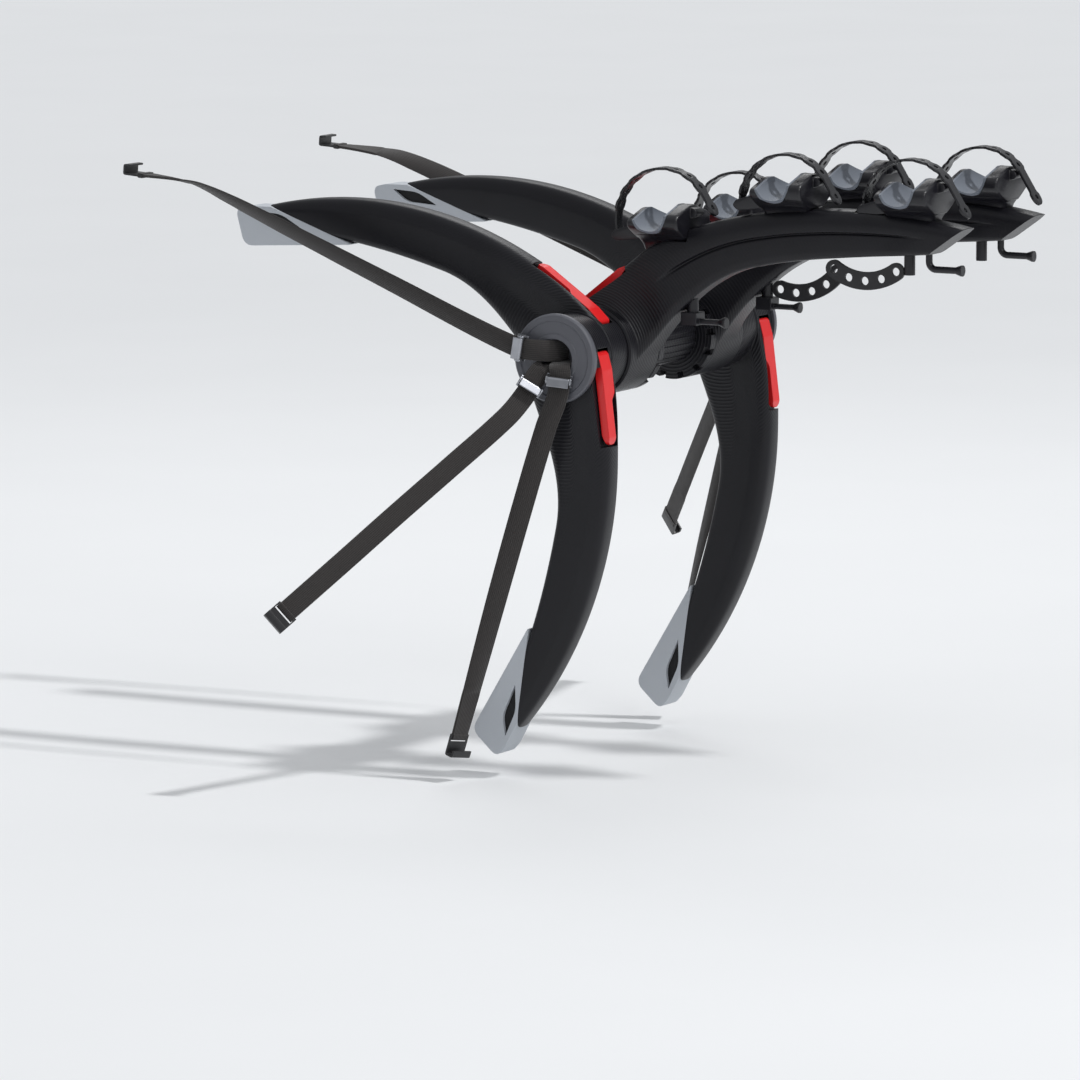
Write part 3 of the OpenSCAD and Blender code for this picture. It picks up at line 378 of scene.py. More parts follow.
def weave_group():
    """Ribs across and along a strap from its UV map."""
    tree, gin, gout = group("weave", [("Ribs", "NodeSocketFloat", 12.0), ("Picks", "NodeSocketFloat", 600.0)],
                            [("Height", "NodeSocketFloat")])
    coord = node(tree, "ShaderNodeTexCoord")
    part = node(tree, "ShaderNodeSeparateXYZ")
    tree.links.new(coord.outputs["UV"], part.inputs[0])
    waves = []
    for axis, count in (("X", "Ribs"), ("Y", "Picks")):
        turns = math_node(tree, "MULTIPLY", gin.outputs[count], 2 * math.pi)
        wave = math_node(tree, "SINE", math_node(tree, "MULTIPLY", part.outputs[axis], turns))
        waves.append(math_node(tree, "MULTIPLY", wave, 0.5))
    both = math_node(tree, "ADD", *waves)
    height = math_node(tree, "ADD", math_node(tree, "MULTIPLY", both, 0.5), 0.5)
    tree.links.new(height, gout.inputs["Height"])
    return tree


GROUPS = {}


def shared(name, make):
    if name not in GROUPS:
        GROUPS[name] = make()
    return GROUPS[name]


def new_material(name, rough, metal=0.0):
    mat = bpy.data.materials.new(name)
    mat.use_nodes = True
    shader = mat.node_tree.nodes["Principled BSDF"]
    shader.inputs["Roughness"].default_value = rough
    shader.inputs["Metallic"].default_value = metal
    return mat, mat.node_tree, shader


def bumped(tree, shader, height, distance, radius=0.0):
    """Bump, over rounded normals where a radius is given."""
    bump = node(tree, "ShaderNodeBump")
    bump.inputs["Distance"].default_value = distance
    tree.links.new(height, bump.inputs["Height"])
    if radius:
        edge = node(tree, "ShaderNodeBevel", samples=6)
        edge.inputs["Radius"].default_value = radius
        tree.links.new(edge.outputs["Normal"], bump.inputs["Normal"])
    tree.links.new(bump.outputs["Normal"], shader.inputs["Normal"])


def speckled(name, dark, light, rough, scale=40.0, grain=0.00004, radius=0.0, metal=0.0):
    """Plain moulded or rubber finish."""
    mat, tree, shader = new_material(name, rough, metal)
    tone = node(tree, "ShaderNodeGroup", node_tree=shared("speckle", speckle_group))
    tone.inputs["Dark"].default_value = (*dark, 1.0)
    tone.inputs["Light"].default_value = (*light, 1.0)
    tone.inputs["Scale"].default_value = scale
    tree.links.new(tone.outputs["Color"], shader.inputs["Base Color"])
    bumped(tree, shader, tone.outputs["Grain"], grain, radius)
    return mat


def lined_plastic(name, props, arc_centre=None):
    """Black moulded plastic with contour lines: a real bump, painted lighter than the plastic as a painted
    highlight on their ridges. On a leg they run round the hub and up its outer edge.
    """
    mat, tree, shader = new_material(name, props.plastic_rough)
    shader.inputs["Specular IOR Level"].default_value = props.plastic_gloss
    coord = node(tree, "ShaderNodeTexCoord")
    part = node(tree, "ShaderNodeSeparateXYZ")
    tree.links.new(coord.outputs["Object"], part.inputs[0])

    def reach(y, z):
        dy = math_node(tree, "SUBTRACT", part.outputs["Y"], y)
        dz = math_node(tree, "SUBTRACT", part.outputs["Z"], z)
        return math_node(tree, "SQRT", math_node(tree, "ADD", math_node(tree, "MULTIPLY", dy, dy),
                                                 math_node(tree, "MULTIPLY", dz, dz)))

    field = math_node(tree, "ADD", reach(0.0, 0.0), part.outputs["X"])
    if arc_centre is not None:
        edge = math_node(tree, "SUBTRACT", LEG_ARC_R * MM, reach(*arc_centre))
        field = math_node(tree, "ADD", field, map_range(tree, edge, 0.048, 0.012, 0.0, 0.07))
    lines = node(tree, "ShaderNodeGroup", node_tree=shared("contour", contour_group))
    lines.inputs["Period"].default_value = props.line_period
    tree.links.new(field, lines.inputs["Field"])
    fade = map_range(tree, reach(0.0, 0.0), 0.05, 0.19, 0.8, 0.07)
    line = math_node(tree, "MULTIPLY", lines.outputs["Line"], fade)
    tone = node(tree, "ShaderNodeGroup", node_tree=shared("speckle", speckle_group))
    tone.inputs["Dark"].default_value = (*props.plastic_dark, 1.0)
    tone.inputs["Light"].default_value = (*props.plastic_light, 1.0)
    tone.inputs["Scale"].default_value = 25.0
    # The lighter line tone mixed in here is a painted highlight on the moulded ridges; the bump below gives
    # their real relief
    line_glint_mix = node(tree, "ShaderNodeMix", data_type="RGBA")
    tree.links.new(math_node(tree, "MULTIPLY", line, 0.5), line_glint_mix.inputs["Factor"])
    tree.links.new(tone.outputs["Color"], line_glint_mix.inputs["A"])
    line_glint_mix.inputs["B"].default_value = (*props.plastic_line_glint, 1.0)
    tree.links.new(line_glint_mix.outputs["Result"], shader.inputs["Base Color"])
    height = math_node(tree, "ADD", math_node(tree, "MULTIPLY", tone.outputs["Grain"], 0.3), line)
    bumped(tree, shader, height, 0.0004, 0.0016)
    return mat


def webbing_material(props):
    mat, tree, shader = new_material("woven_webbing", 0.85)
    weave = node(tree, "ShaderNodeGroup", node_tree=shared("weave", weave_group))
    weave.inputs["Ribs"].default_value = 11.0
    weave.inputs["Picks"].default_value = 700.0
    # The weave's height also sets its colour: painted shade in the valleys, painted light on the crowns
    tone = node(tree, "ShaderNodeMix", data_type="RGBA")
    tone.inputs["A"].default_value = (*props.webbing_valley_shade, 1.0)
    tone.inputs["B"].default_value = (*props.webbing_crown_light, 1.0)
    tree.links.new(weave.outputs["Height"], tone.inputs["Factor"])
    tree.links.new(tone.outputs["Result"], shader.inputs["Base Color"])
    shader.inputs["Sheen Weight"].default_value = 0.25
    bumped(tree, shader, weave.outputs["Height"], 0.0004)
    return mat


class CarrierLooks(bpy.types.PropertyGroup):
    """Colours and finishes of the carrier."""

    plastic_dark: bpy.props.FloatVectorProperty(
        name="Plastic, dark", description="Darkest tone of the moulded limbs", subtype="COLOR",
        default=(0.0040, 0.0038, 0.0058))
    plastic_light: bpy.props.FloatVectorProperty(
        name="Plastic, light", description="Lightest tone of the moulded limbs", subtype="COLOR",
        default=(0.0072, 0.0070, 0.0102))
    # Contour line tone: lighter than the plastic, a painted highlight on the lines' ridges
    plastic_line_glint: bpy.props.FloatVectorProperty(
        name="Contour lines", description="Tone of the moulded contour lines", subtype="COLOR",
        default=(0.034, 0.034, 0.039))
    plastic_rough: bpy.props.FloatProperty(
        name="Plastic roughness", description="Roughness of the moulded limbs",
        default=0.36, min=0.0, max=1.0)
    plastic_gloss: bpy.props.FloatProperty(
        name="Plastic gloss", description="Strength of the moulded limbs' reflections",
        default=0.34, min=0.0, max=1.0)
    line_period: bpy.props.FloatProperty(
        name="Line spacing", description="Distance between contour lines", default=0.0042, unit="LENGTH")
    lever_red: bpy.props.FloatVectorProperty(
        name="Lever red", description="Colour of the cam levers", subtype="COLOR",
        default=(0.80, 0.018, 0.020))
    foot_grey: bpy.props.FloatVectorProperty(
        name="Foot grey", description="Colour of the rubber feet", subtype="COLOR",
        default=(0.50, 0.53, 0.57))
    pad_grey: bpy.props.FloatVectorProperty(
        name="Pad grey", description="Colour of the cradle linings", subtype="COLOR",
        default=(0.17, 0.19, 0.225))
    cap_grey: bpy.props.FloatVectorProperty(
        name="Cap grey", description="Colour of the end caps", subtype="COLOR",
        default=(0.105, 0.108, 0.125))
    # Weave tones: painted shade in the valleys of the weave, painted light on its crowns
    webbing_valley_shade: bpy.props.FloatVectorProperty(
        name="Webbing, dark", description="Valleys of the weave", subtype="COLOR",
        default=(0.008, 0.007, 0.007))
    webbing_crown_light: bpy.props.FloatVectorProperty(
        name="Webbing, light", description="Crowns of the weave", subtype="COLOR",
        default=(0.040, 0.034, 0.032))


class CarrierSizes(bpy.types.PropertyGroup):
    """Detail sizes that the looks add to the frame."""

    crown_soft: bpy.props.FloatProperty(
        name="Back rounding", description="Setback of the curve on the limbs' backs, in millimetres",
        default=9.0)
    foot_round: bpy.props.FloatProperty(
        name="Foot rounding", description="Edge rounding of the rubber feet, in millimetres", default=4.0)
    hub_round: bpy.props.FloatProperty(
        name="Hub rounding", description="Edge rounding of the hubs, in millimetres", default=2.5)
    scallop: bpy.props.FloatProperty(
        name="Strap scallop", description="Narrowing of a hold-down strap between its holes, in millimetres",
        default=3.0)


def looks():
    return bpy.context.scene.carrier_looks


def sizes():
    return bpy.context.scene.carrier_sizes


# Limb geometry
LEG_PLACES = (
    ("lower", move(-LOWER_X, 0, 0) @ turn_x(LOWER_TURN)),
    ("upper", move(-UPPER_X, 0, 0) @ turn_x(UPPER_TURN) @ Matrix.Rotation(math.pi, 4, "Y")))


def leg_point(psi, m):
    a = math.radians(psi)
    return Vector((LEG_CENTRE - (LEG_ARC_R - m) * math.cos(a), -(LEG_ARC_R - m) * math.sin(a)))


def leg_depth(psi):
    if psi < LEG_FLARE:
        extra = 2 * HUB_R - 2 * ROOT_SINK - LEG_DEPTH
        return LEG_DEPTH + extra * (1 + math.cos(math.pi * psi / LEG_FLARE)) / 2
    return LEG_DEPTH - LEG_TAPER * ((psi - LEG_FLARE) / 15) ** 2


def limb_ring(outer, inner, left, right, setbacks):
    """Ring of a limb from its left and right halves, each as [half width, share of depth]."""
    depth = (inner - outer).length
    flat = [Vector((-w, s * depth)) for w, s in reversed(left)] + [Vector((w, s * depth)) for w, s in right]
    soft = soft_corners(flat, list(reversed(setbacks)) + list(setbacks))
    axis = (inner - outer).normalized()
    return [Vector((p.x, outer.x + axis.x * p.y, outer.y + axis.y * p.y)) for p in soft]


def leg_ring(psi):
    w = (LEG_W - HUB_GAP) / 2 - SEAT_CLEAR - 2 * ease((psi - LEG_FLARE) / 30)
    back = mix(w - 1, 10.0, ease((psi - 2) / 14))
    half = [(back, 0.0), (mix(back, w, 0.62), 0.07), (w, 0.32), (w, 0.92), (w - 4, 1.0)]
    return limb_ring(leg_point(psi, 0), leg_point(psi, leg_depth(psi)), half, half,
                     [sizes().crown_soft, 7.0, 3.0, 4.0, 4.0])


def lever_channel(matrix, pin_r, length):
    """Slot for a lever with finger room at its end, and the pocket of its clamp shoe."""
    room = LEVER_W / 2 + LEVER_SIDE
    slot = prism("slot", box(-LEVER_UNDER, -SHOE_POCKET, HUB_R, length + FINGER_ROOM), room, matrix)
    low = box(BORE_R / 2 - pin_r, -SHOE_POCKET + NUDGE, 0.0, SHOE_POCKET)
    return slot, prism("slot_pocket", low, room - NUDGE, matrix)


def side_opening(matrix, length, half):
    """Room beside a lever, so that it shows and can be reached from one side."""
    corners = box(-LEVER_UNDER, SIDE_OPEN_FROM, HUB_R, length + FINGER_ROOM)
    return prism("side", corners, half, matrix @ move(-half - 1, 0, 0))


def foot_seat():
    """Where the foot's slanted flat starts on a leg."""
    start = leg_point(FOOT_START, leg_depth(FOOT_START))
    return move(0, start.x, start.y) @ turn_x(FOOT_SLANT)


def leg_piece(name):
    """One leg in its own frame, with bore, lever slot and foot flat."""
    steps = 84
    loft = skin(name, [leg_ring(LEG_END * i / steps) for i in range(steps + 1)])
    hub = rod("hub", HUB_R, (LEG_W - HUB_GAP) / 2, Matrix(), 128)
    soft_edges(hub, sizes().hub_round, 3)
    seat = turn_x(LEVER_TILT) @ move(0, -(HUB_R - PIN_SINK), 0) @ turn_x(180 - LEVER_LEAN)
    for limb in (loft, hub):
        cut(limb, rod("bore", BORE_R, LEG_W, Matrix(), 128))
        for tool in lever_channel(seat, HUB_R - PIN_SINK, LEG_LEVER_L):
            cut(limb, tool)
        cut(limb, side_opening(seat, LEG_LEVER_L, LEG_W / 2))
    cut(loft, prism("flat", box(0, -2 * FOOT_L, FOOT_L, FOOT_L), LEG_W, foot_seat()))
    for limb in (loft, hub):
        smooth(limb)
    return join([loft, hub], name)


ARM_ROOT = Vector((math.cos(math.radians(ARM_LEVER_A)), math.sin(math.radians(ARM_LEVER_A)))) * ARM_ROOT_R
ARM_ALONG = Vector((-math.sin(math.radians(ARM_LEVER_A)), math.cos(math.radians(ARM_LEVER_A))))
ARM_KNEE = ARM_ROOT + ARM_ALONG * ARM_ROOT_L
ARM_TOP = [ARM_KNEE, Vector((-130, 170)), ARM_TIP + Vector((170, 35)), ARM_TIP]
ARM_WEB = [Vector(p) for p in ((-38, -32), (-70, 20), (-124, 95), (-205, 107))]
ARM_BELLY = [Vector((-205, 107)), Vector((-260, 120)), ARM_CHIN + Vector((85, -7)), ARM_CHIN]
WEB_SPLIT, BELLY_FROM = 0.36, 0.45


def arm_inner(v):
    if v < BELLY_FROM:
        return bezier(ARM_WEB, mix(WEB_SPLIT, 1.0, v / BELLY_FROM))
    return bezier(ARM_BELLY, (v - BELLY_FROM) / (1 - BELLY_FROM))


def arm_half(w, back, sink):
    """Half section of the arm: crowned back, side wall, then the sunk panel."""
    groove = 1.7 * sink
    return [(back, 0.0), (mix(back, w, 0.62), 0.07), (w, 0.25), (w, 0.44), (w - groove, 0.465),
            (w - groove, 0.485), (w - sink, 0.51), (w - sink, 0.9), (w - sink - 4, 1.0)]


def arm_root_half(k, hub_half):
    w = mix(hub_half, ARM_HALF_W + 2, ease(k * 1.1))
    return arm_half(w, mix(w - 3, 16.0, ease(k * 1.2)), 0.0)


def arm_rings():
    rings = []
    root_steps, beam_steps = 22, 60
    setbacks = [sizes().crown_soft, 6.0, 6.0, 0.8, 0.5, 0.5, 1.2, 4.0, 4.0]
    hub_in = ARM_X - ARM_START - HUB_GAP / 2 - SEAT_CLEAR
    hub_out = ARM_START + ARM_HUB_W - ARM_X - HUB_GAP / 2 - SEAT_CLEAR
    for i in range(root_steps):
        k = i / root_steps
        rings.append(limb_ring(ARM_ROOT.lerp(ARM_KNEE, k), bezier(ARM_WEB, WEB_SPLIT * k),
                               arm_root_half(k, hub_out), arm_root_half(k, hub_in), setbacks))
    for i in range(beam_steps + 1):
        v = i / beam_steps
        w = mix(ARM_HALF_W + 2, ARM_HALF_W, ease(v * 5))
        sink = PANEL_DEPTH * ease(v * 6) * ease((0.94 - v) * 10)
        half = arm_half(w, mix(16.0, 11.0, ease(v * 4)), sink)
        rings.append(limb_ring(bezier(ARM_TOP, v), arm_inner(v), half, half, setbacks))
    return rings


def cradle_place(i):
    y = -CRADLE_FIRST - i * CRADLE_PITCH
    lo, hi = 0.0, 1.0
    for _ in range(30):
        t = (lo + hi) / 2
        if bezier(ARM_TOP, t).x > y:
            lo = t
        else:
            hi = t
    return y, bezier(ARM_TOP, t).y + CRADLE_LIFT


def arm_piece(name):
    loft = skin(name, arm_rings())
    hub = rod("hub", ARM_HUB_R, (ARM_HUB_W - HUB_GAP) / 2, move(ARM_X - ARM_HUB_X, 0, 0), 128)
    soft_edges(hub, sizes().hub_round, 3)
    seat = turn_x(ARM_LEVER_A) @ move(0, ARM_ROOT_R - PIN_SINK, 0)
    for limb in (loft, hub):
        cut(limb, rod("bore", BORE_R, 2 * ARM_HUB_W, Matrix(), 128))
        for tool in lever_channel(seat, ARM_ROOT_R - PIN_SINK, ARM_LEVER_L):
            cut(limb, tool)
        cut(limb, side_opening(seat, ARM_LEVER_L, ARM_HUB_W / 2))
    for i in range(CRADLE_N):
        y, z = cradle_place(i)
        rear, front, top = y - CRADLE_REAR - ROOM_CLEAR, y + CRADLE_FRONT + ROOM_CLEAR, z + ROOM_TOP
        cut(loft, prism("room", box(rear, z - CRADLE_FLOOR, front, top), 2 * LEG_W, Matrix()))
        ears = box(y + CRADLE_FRONT, z - EAR_ROOM_DROP, y + EAR_ROOM_TO, top)
        cut(loft, prism("ear_room", ears, EAR_ROOM_W, Matrix()))
    for limb in (loft, hub):
        smooth(limb)
    return join([loft, hub], name)


class CARRIER_OT_stage(bpy.types.Operator):
    """Adds the camera, the floor and the studio lights"""

    bl_idname = "carrier.stage"
    bl_label = "Stage"

    def execute(self, context):
        scene = context.scene
        heading, tilt = math.radians(CAMERA_HEADING), math.radians(CAMERA_TILT)
        ahead = Vector((math.cos(heading) * math.cos(tilt), math.sin(heading) * math.cos(tilt),
                        -math.sin(tilt)))
        right = Vector((math.sin(heading), -math.cos(heading), 0.0))
        up = right.cross(ahead)
        camera = bpy.data.cameras.new("camera")
        camera.lens = CAMERA_LENS
        camera.sensor_width = CAMERA_SENSOR
        camera.clip_end = CAMERA_FAR
        holder = bpy.data.objects.new("camera", camera)
        holder.matrix_world = Matrix((
            (right.x, up.x, -ahead.x, CAMERA_AT.x), (right.y, up.y, -ahead.y, CAMERA_AT.y),
            (right.z, up.z, -ahead.z, CAMERA_AT.z), (0, 0, 0, 1)))
        scene.collection.objects.link(holder)
        scene.camera = holder

        edges = box(-FLOOR_REACH, -FLOOR_REACH, FLOOR_REACH, FLOOR_REACH)
        floor = make_mesh("floor", [(p.x, p.y, FLOOR_Z) for p in edges], [(0, 1, 2, 3)])
        pale = speckled("pale_floor", (0.79, 0.80, 0.81), (0.82, 0.83, 0.84), 0.9, 2.0, 0.0001)
        floor.data.materials.append(pale)
        self.sky(scene)
        self.lamps(scene)
        scene.view_settings.view_transform = "Standard"
        return {"FINISHED"}

    def sky(self, scene):
        """Soft dome, brighter overhead than at the horizon."""
        world = bpy.data.worlds.new("studio")
        scene.world = world
        world.use_nodes = True
        tree = world.node_tree
        ground = tree.nodes["Background"]
        coord = node(tree, "ShaderNodeTexCoord")
        part = node(tree, "ShaderNodeSeparateXYZ")
        tree.links.new(coord.outputs["Generated"], part.inputs[0])
        ramp = map_range(tree, part.outputs["Z"], -0.1, 0.9, 0.22, 0.62, "LINEAR")
        ground.inputs["Color"].default_value = (0.95, 0.97, 1.0, 1.0)
        tree.links.new(ramp, ground.inputs["Strength"])

    def lamps(self, scene):
        for name, kind, spot, size, power in (
                ("sun", "SUN", (0.3, -2.6, 4.0), math.radians(4), 1.6),
                ("key", "AREA", (-1.4, -2.4, 1.6), 0.9, 14.0),
                ("rim", "AREA", (2.4, 1.0, 2.4), 1.6, 18.0)):
            lamp = bpy.data.lights.new(name, kind)
            if kind == "SUN":
                lamp.angle = size
            else:
                lamp.size = size
            lamp.energy = power
            obj = bpy.data.objects.new(name, lamp)
            obj.location = spot
            obj.rotation_euler = (-Vector(spot)).to_track_quat("-Z", "Y").to_euler()
            scene.collection.objects.link(obj)


class CARRIER_OT_webbing(bpy.types.Operator):
    """Lays the six tie-down straps and their hooks"""

    bl_idname = "carrier.webbing"
    bl_label = "Tie-down straps"

    def execute(self, context):
        web = webbing_material(looks())
        black = speckled("hook_coating", (0.012, 0.012, 0.013), (0.03, 0.03, 0.032), 0.4, 60.0,
                         0.00005, 0.0008)
        for kind in ROUTES:
            for side, sign in SIDES:
                self.strap(kind, side, sign, web, black)
        return {"FINISHED"}

    def strap(self, kind, side, sign, web, black):
        route = [Vector((-TUBE_HALF + p[0], p[1], p[2])) for p in ROUTES[kind]]
        wide = [Vector(w).normalized() for w in WIDTHS[kind]]
        path, across = [], []
        steps = 8
        last = len(route) - 1
        for i in range(last):
            a, b, c, d = route[max(0, i - 1)], route[i], route[i + 1], route[min(last, i + 2)]
            reach = (c - b).length
            t0 = (c - a).normalized() * reach if i else Vector((-reach, 0, 0))
            t1 = (d - b).normalized() * reach
            for k in range(steps if i < last - 1 else steps + 1):
                t = k / steps
                path.append(b * (2 * t ** 3 - 3 * t * t + 1) + t0 * (t ** 3 - 2 * t * t + t)
                            + c * (3 * t * t - 2 * t ** 3) + t1 * (t ** 3 - t * t))
                across.append(wide[i].lerp(wide[i + 1], t))
        run = [0.0]
        for a, b in zip(path, path[1:]):
            run.append(run[-1] + (b - a).length)
        rings = []
        for i, p in enumerate(path):
            ahead = (path[min(len(path) - 1, i + 1)] - path[max(0, i - 1)]).normalized()
            x = (across[i] - ahead * across[i].dot(ahead)).normalized()
            y = ahead.cross(x)
            rings.append(self.section(p, x, y, WEB_T / 2 * (1 + ease((run[i] - run[-1] + FOLD_L) / 4))))
        length = run[-1]
        wrap = HOOK_T / 2 + WEB_T
        for step, thin in ((0.6, wrap), (5.4, wrap), (1.0, 0.7 * wrap), (0.5, 0.3 * wrap)):
            run.append(run[-1] + step)
            rings.append(self.section(path[-1] + ahead * (run[-1] - length), x, y, thin))
        obj = skin(f"{kind}_webbing_{side}", rings)
        self.map_uv(obj, rings, run)
        hook = self.hook(kind, side, path, across)
        if sign < 0:
            mirror(obj)
            mirror(hook)
        smooth(obj, 50.0)
        dress(obj, web, "frame", f"{kind}_strap_{side}", slot="webbing")
        dress(hook, black, "frame", "strap_hooks", slot="hook_coating")

    def section(self, p, x, y, thin):
        """Cross-section of the webbing with rounded selvedges."""
        half = WEB_W / 2
        ring = [(-half, -0.3 * thin), (-half + 0.6, -thin), (half - 0.6, -thin), (half, -0.3 * thin),
                (half, 0.3 * thin), (half - 0.6, thin), (-half + 0.6, thin), (-half, 0.3 * thin)]
        return [p + x * u + y * v for u, v in ring]

    def map_uv(self, obj, rings, run):
        """U across the strap, V along it in metres."""
        n = len(rings[0])
        share = [0.0, 0.02, 0.98, 1.0, 1.0, 0.98, 0.02, 0.0]
        layer = obj.data.uv_layers.new(name="UVMap")
        for loop in obj.data.loops:
            layer.data[loop.index].uv = (share[loop.vertex_index % n], run[loop.vertex_index // n] * MM)

    def hook(self, kind, side, path, across):
        """Flat hook with a turned lip, a slot and rounded corners."""
        ahead = (path[-1] - path[-2]).normalized()
        flip = -1.0 if kind == "top" else 1.0
        x = (across[-1] - ahead * across[-1].dot(ahead)).normalized() * flip
        y = ahead.cross(x)
        o = path[-1] + ahead * HOOK_GAP
        basis = Matrix(((x.x, y.x, ahead.x, o.x), (x.y, y.y, ahead.y, o.y), (x.z, y.z, ahead.z, o.z),
                        (0, 0, 0, 1)))
        t, lip_end = HOOK_T / 2, HOOK_L - HOOK_LIP_L
        outline = [Vector(p) for p in (
            (t, 0), (t, HOOK_L), (-HOOK_LIP, HOOK_L), (-HOOK_LIP, lip_end), (HOOK_T - HOOK_LIP, lip_end),
            (HOOK_T - HOOK_LIP, HOOK_L - HOOK_T), (-t, HOOK_L - HOOK_T), (-t, 0))]
        outline = soft_corners(outline, [0.2, 3.0, 3.0, 0.4, 0.4, 1.0, 1.0, 0.2], 3)
        obj = prism(f"{kind}_hook_{side}", outline, HOOK_W / 2, basis)
        slot = box(-HOOK_T, HOOK_SLOT_FROM, HOOK_T, HOOK_SLOT_TO)
        cut(obj, prism("slot", slot, WEB_W / 2 + HOOK_SLOT_ROOM, basis))
        smooth(obj, 30.0)
        return obj


class CARRIER_OT_legs(bpy.types.Operator):
    """Builds the four smooth legs"""

    bl_idname = "carrier.legs"
    bl_label = "Legs"

    def execute(self, context):
        base = leg_piece("leg")
        for kind, matrix in LEG_PLACES:
            centre = (matrix @ Vector((0, LEG_CENTRE, 0))) * MM
            finish = lined_plastic(f"{kind}_leg_plastic", looks(), (centre.y, centre.z))
            for side, sign in SIDES:
                shell = placed(base, f"{kind}_leg_shell_{side}", matrix, sign)
                dress(shell, finish, f"{kind}_leg_{side}", f"{kind}_leg_{side}", slot="black_plastic")
        bpy.data.objects.remove(base)
        return {"FINISHED"}


class CARRIER_OT_arms(bpy.types.Operator):
    """Builds the two smooth arms"""

    bl_idname = "carrier.arms"
    bl_label = "Arms"

    def execute(self, context):
        finish = lined_plastic("arm_plastic", looks())
        base = arm_piece("arm")
        for side, sign in SIDES:
            shell = placed(base, f"arm_shell_{side}", move(-ARM_X, 0, 0), sign)
            dress(shell, finish, f"arm_{side}", f"arm_{side}", slot="black_plastic")
        bpy.data.objects.remove(base)
        return {"FINISHED"}


class CARRIER_OT_feet(bpy.types.Operator):
    """Builds the rubber feet, with a dark plate of painted shade at the floor of each window"""

    bl_idname = "carrier.feet"
    bl_label = "Feet"

    def execute(self, context):
        grey = looks().foot_grey
        rubber = speckled("foot_rubber", shade(grey, 0.93), tuple(grey), 0.6, 30.0, 0.00005)
        # Near-black plate at each window's floor: painted shade standing in for the hollow inside of the boot
        dark = speckled("foot_window_shade", (0.004, 0.004, 0.005), (0.008, 0.008, 0.009), 0.7)
        outline = self.shares(((0, 0), (1, 0.84), (0.36, 1), (0.19, 0.91), (0, 0.73)),
                              (5.0, 12.0, 11.0, 4.0, 0.5))
        window = self.shares(((0.14, 0.44), (0.345, 0.69), (0.22, 0.835), (0.05, 0.63)),
                             (1.5, 9.0, 2.0, 9.0))
        boot = prism("boot", outline, FOOT_W / 2, Matrix())
        soft_edges(boot, sizes().foot_round, 4, 40.0)
        plates = []
        for s in (-1, 1):
            cut(boot, prism("window", window, 6.0, move(s * FOOT_W / 2, 0, 0)))
            plates.append(prism("plate", window, 0.5, move(s * (FOOT_W / 2 - 5.2), 0, 0)))
        smooth(boot, 45.0)
        window_shade = join(plates, "window_shade")
        seat = foot_seat()
        for kind, matrix in LEG_PLACES:
            for side, sign in SIDES:
                shell = placed(boot, f"{kind}_boot_{side}", matrix @ seat, sign)
                dress(shell, rubber, f"{kind}_leg_{side}", f"{kind}_foot_{side}", slot="foot_rubber")
                plate = placed(window_shade, f"{kind}_window_{side}", matrix @ seat, sign)
                dress(plate, dark, f"{kind}_leg_{side}", slot="shoe_rubber")
        bpy.data.objects.remove(boot)
        bpy.data.objects.remove(window_shade)
        return {"FINISHED"}

    def shares(self, corners, setbacks):
        """Outline from shares of the foot's reach and length, measured down from its top."""
        points = [Vector((out * FOOT_REACH, FOOT_TOP - down * FOOT_L)) for out, down in corners]
        return soft_corners(points, setbacks, 6)


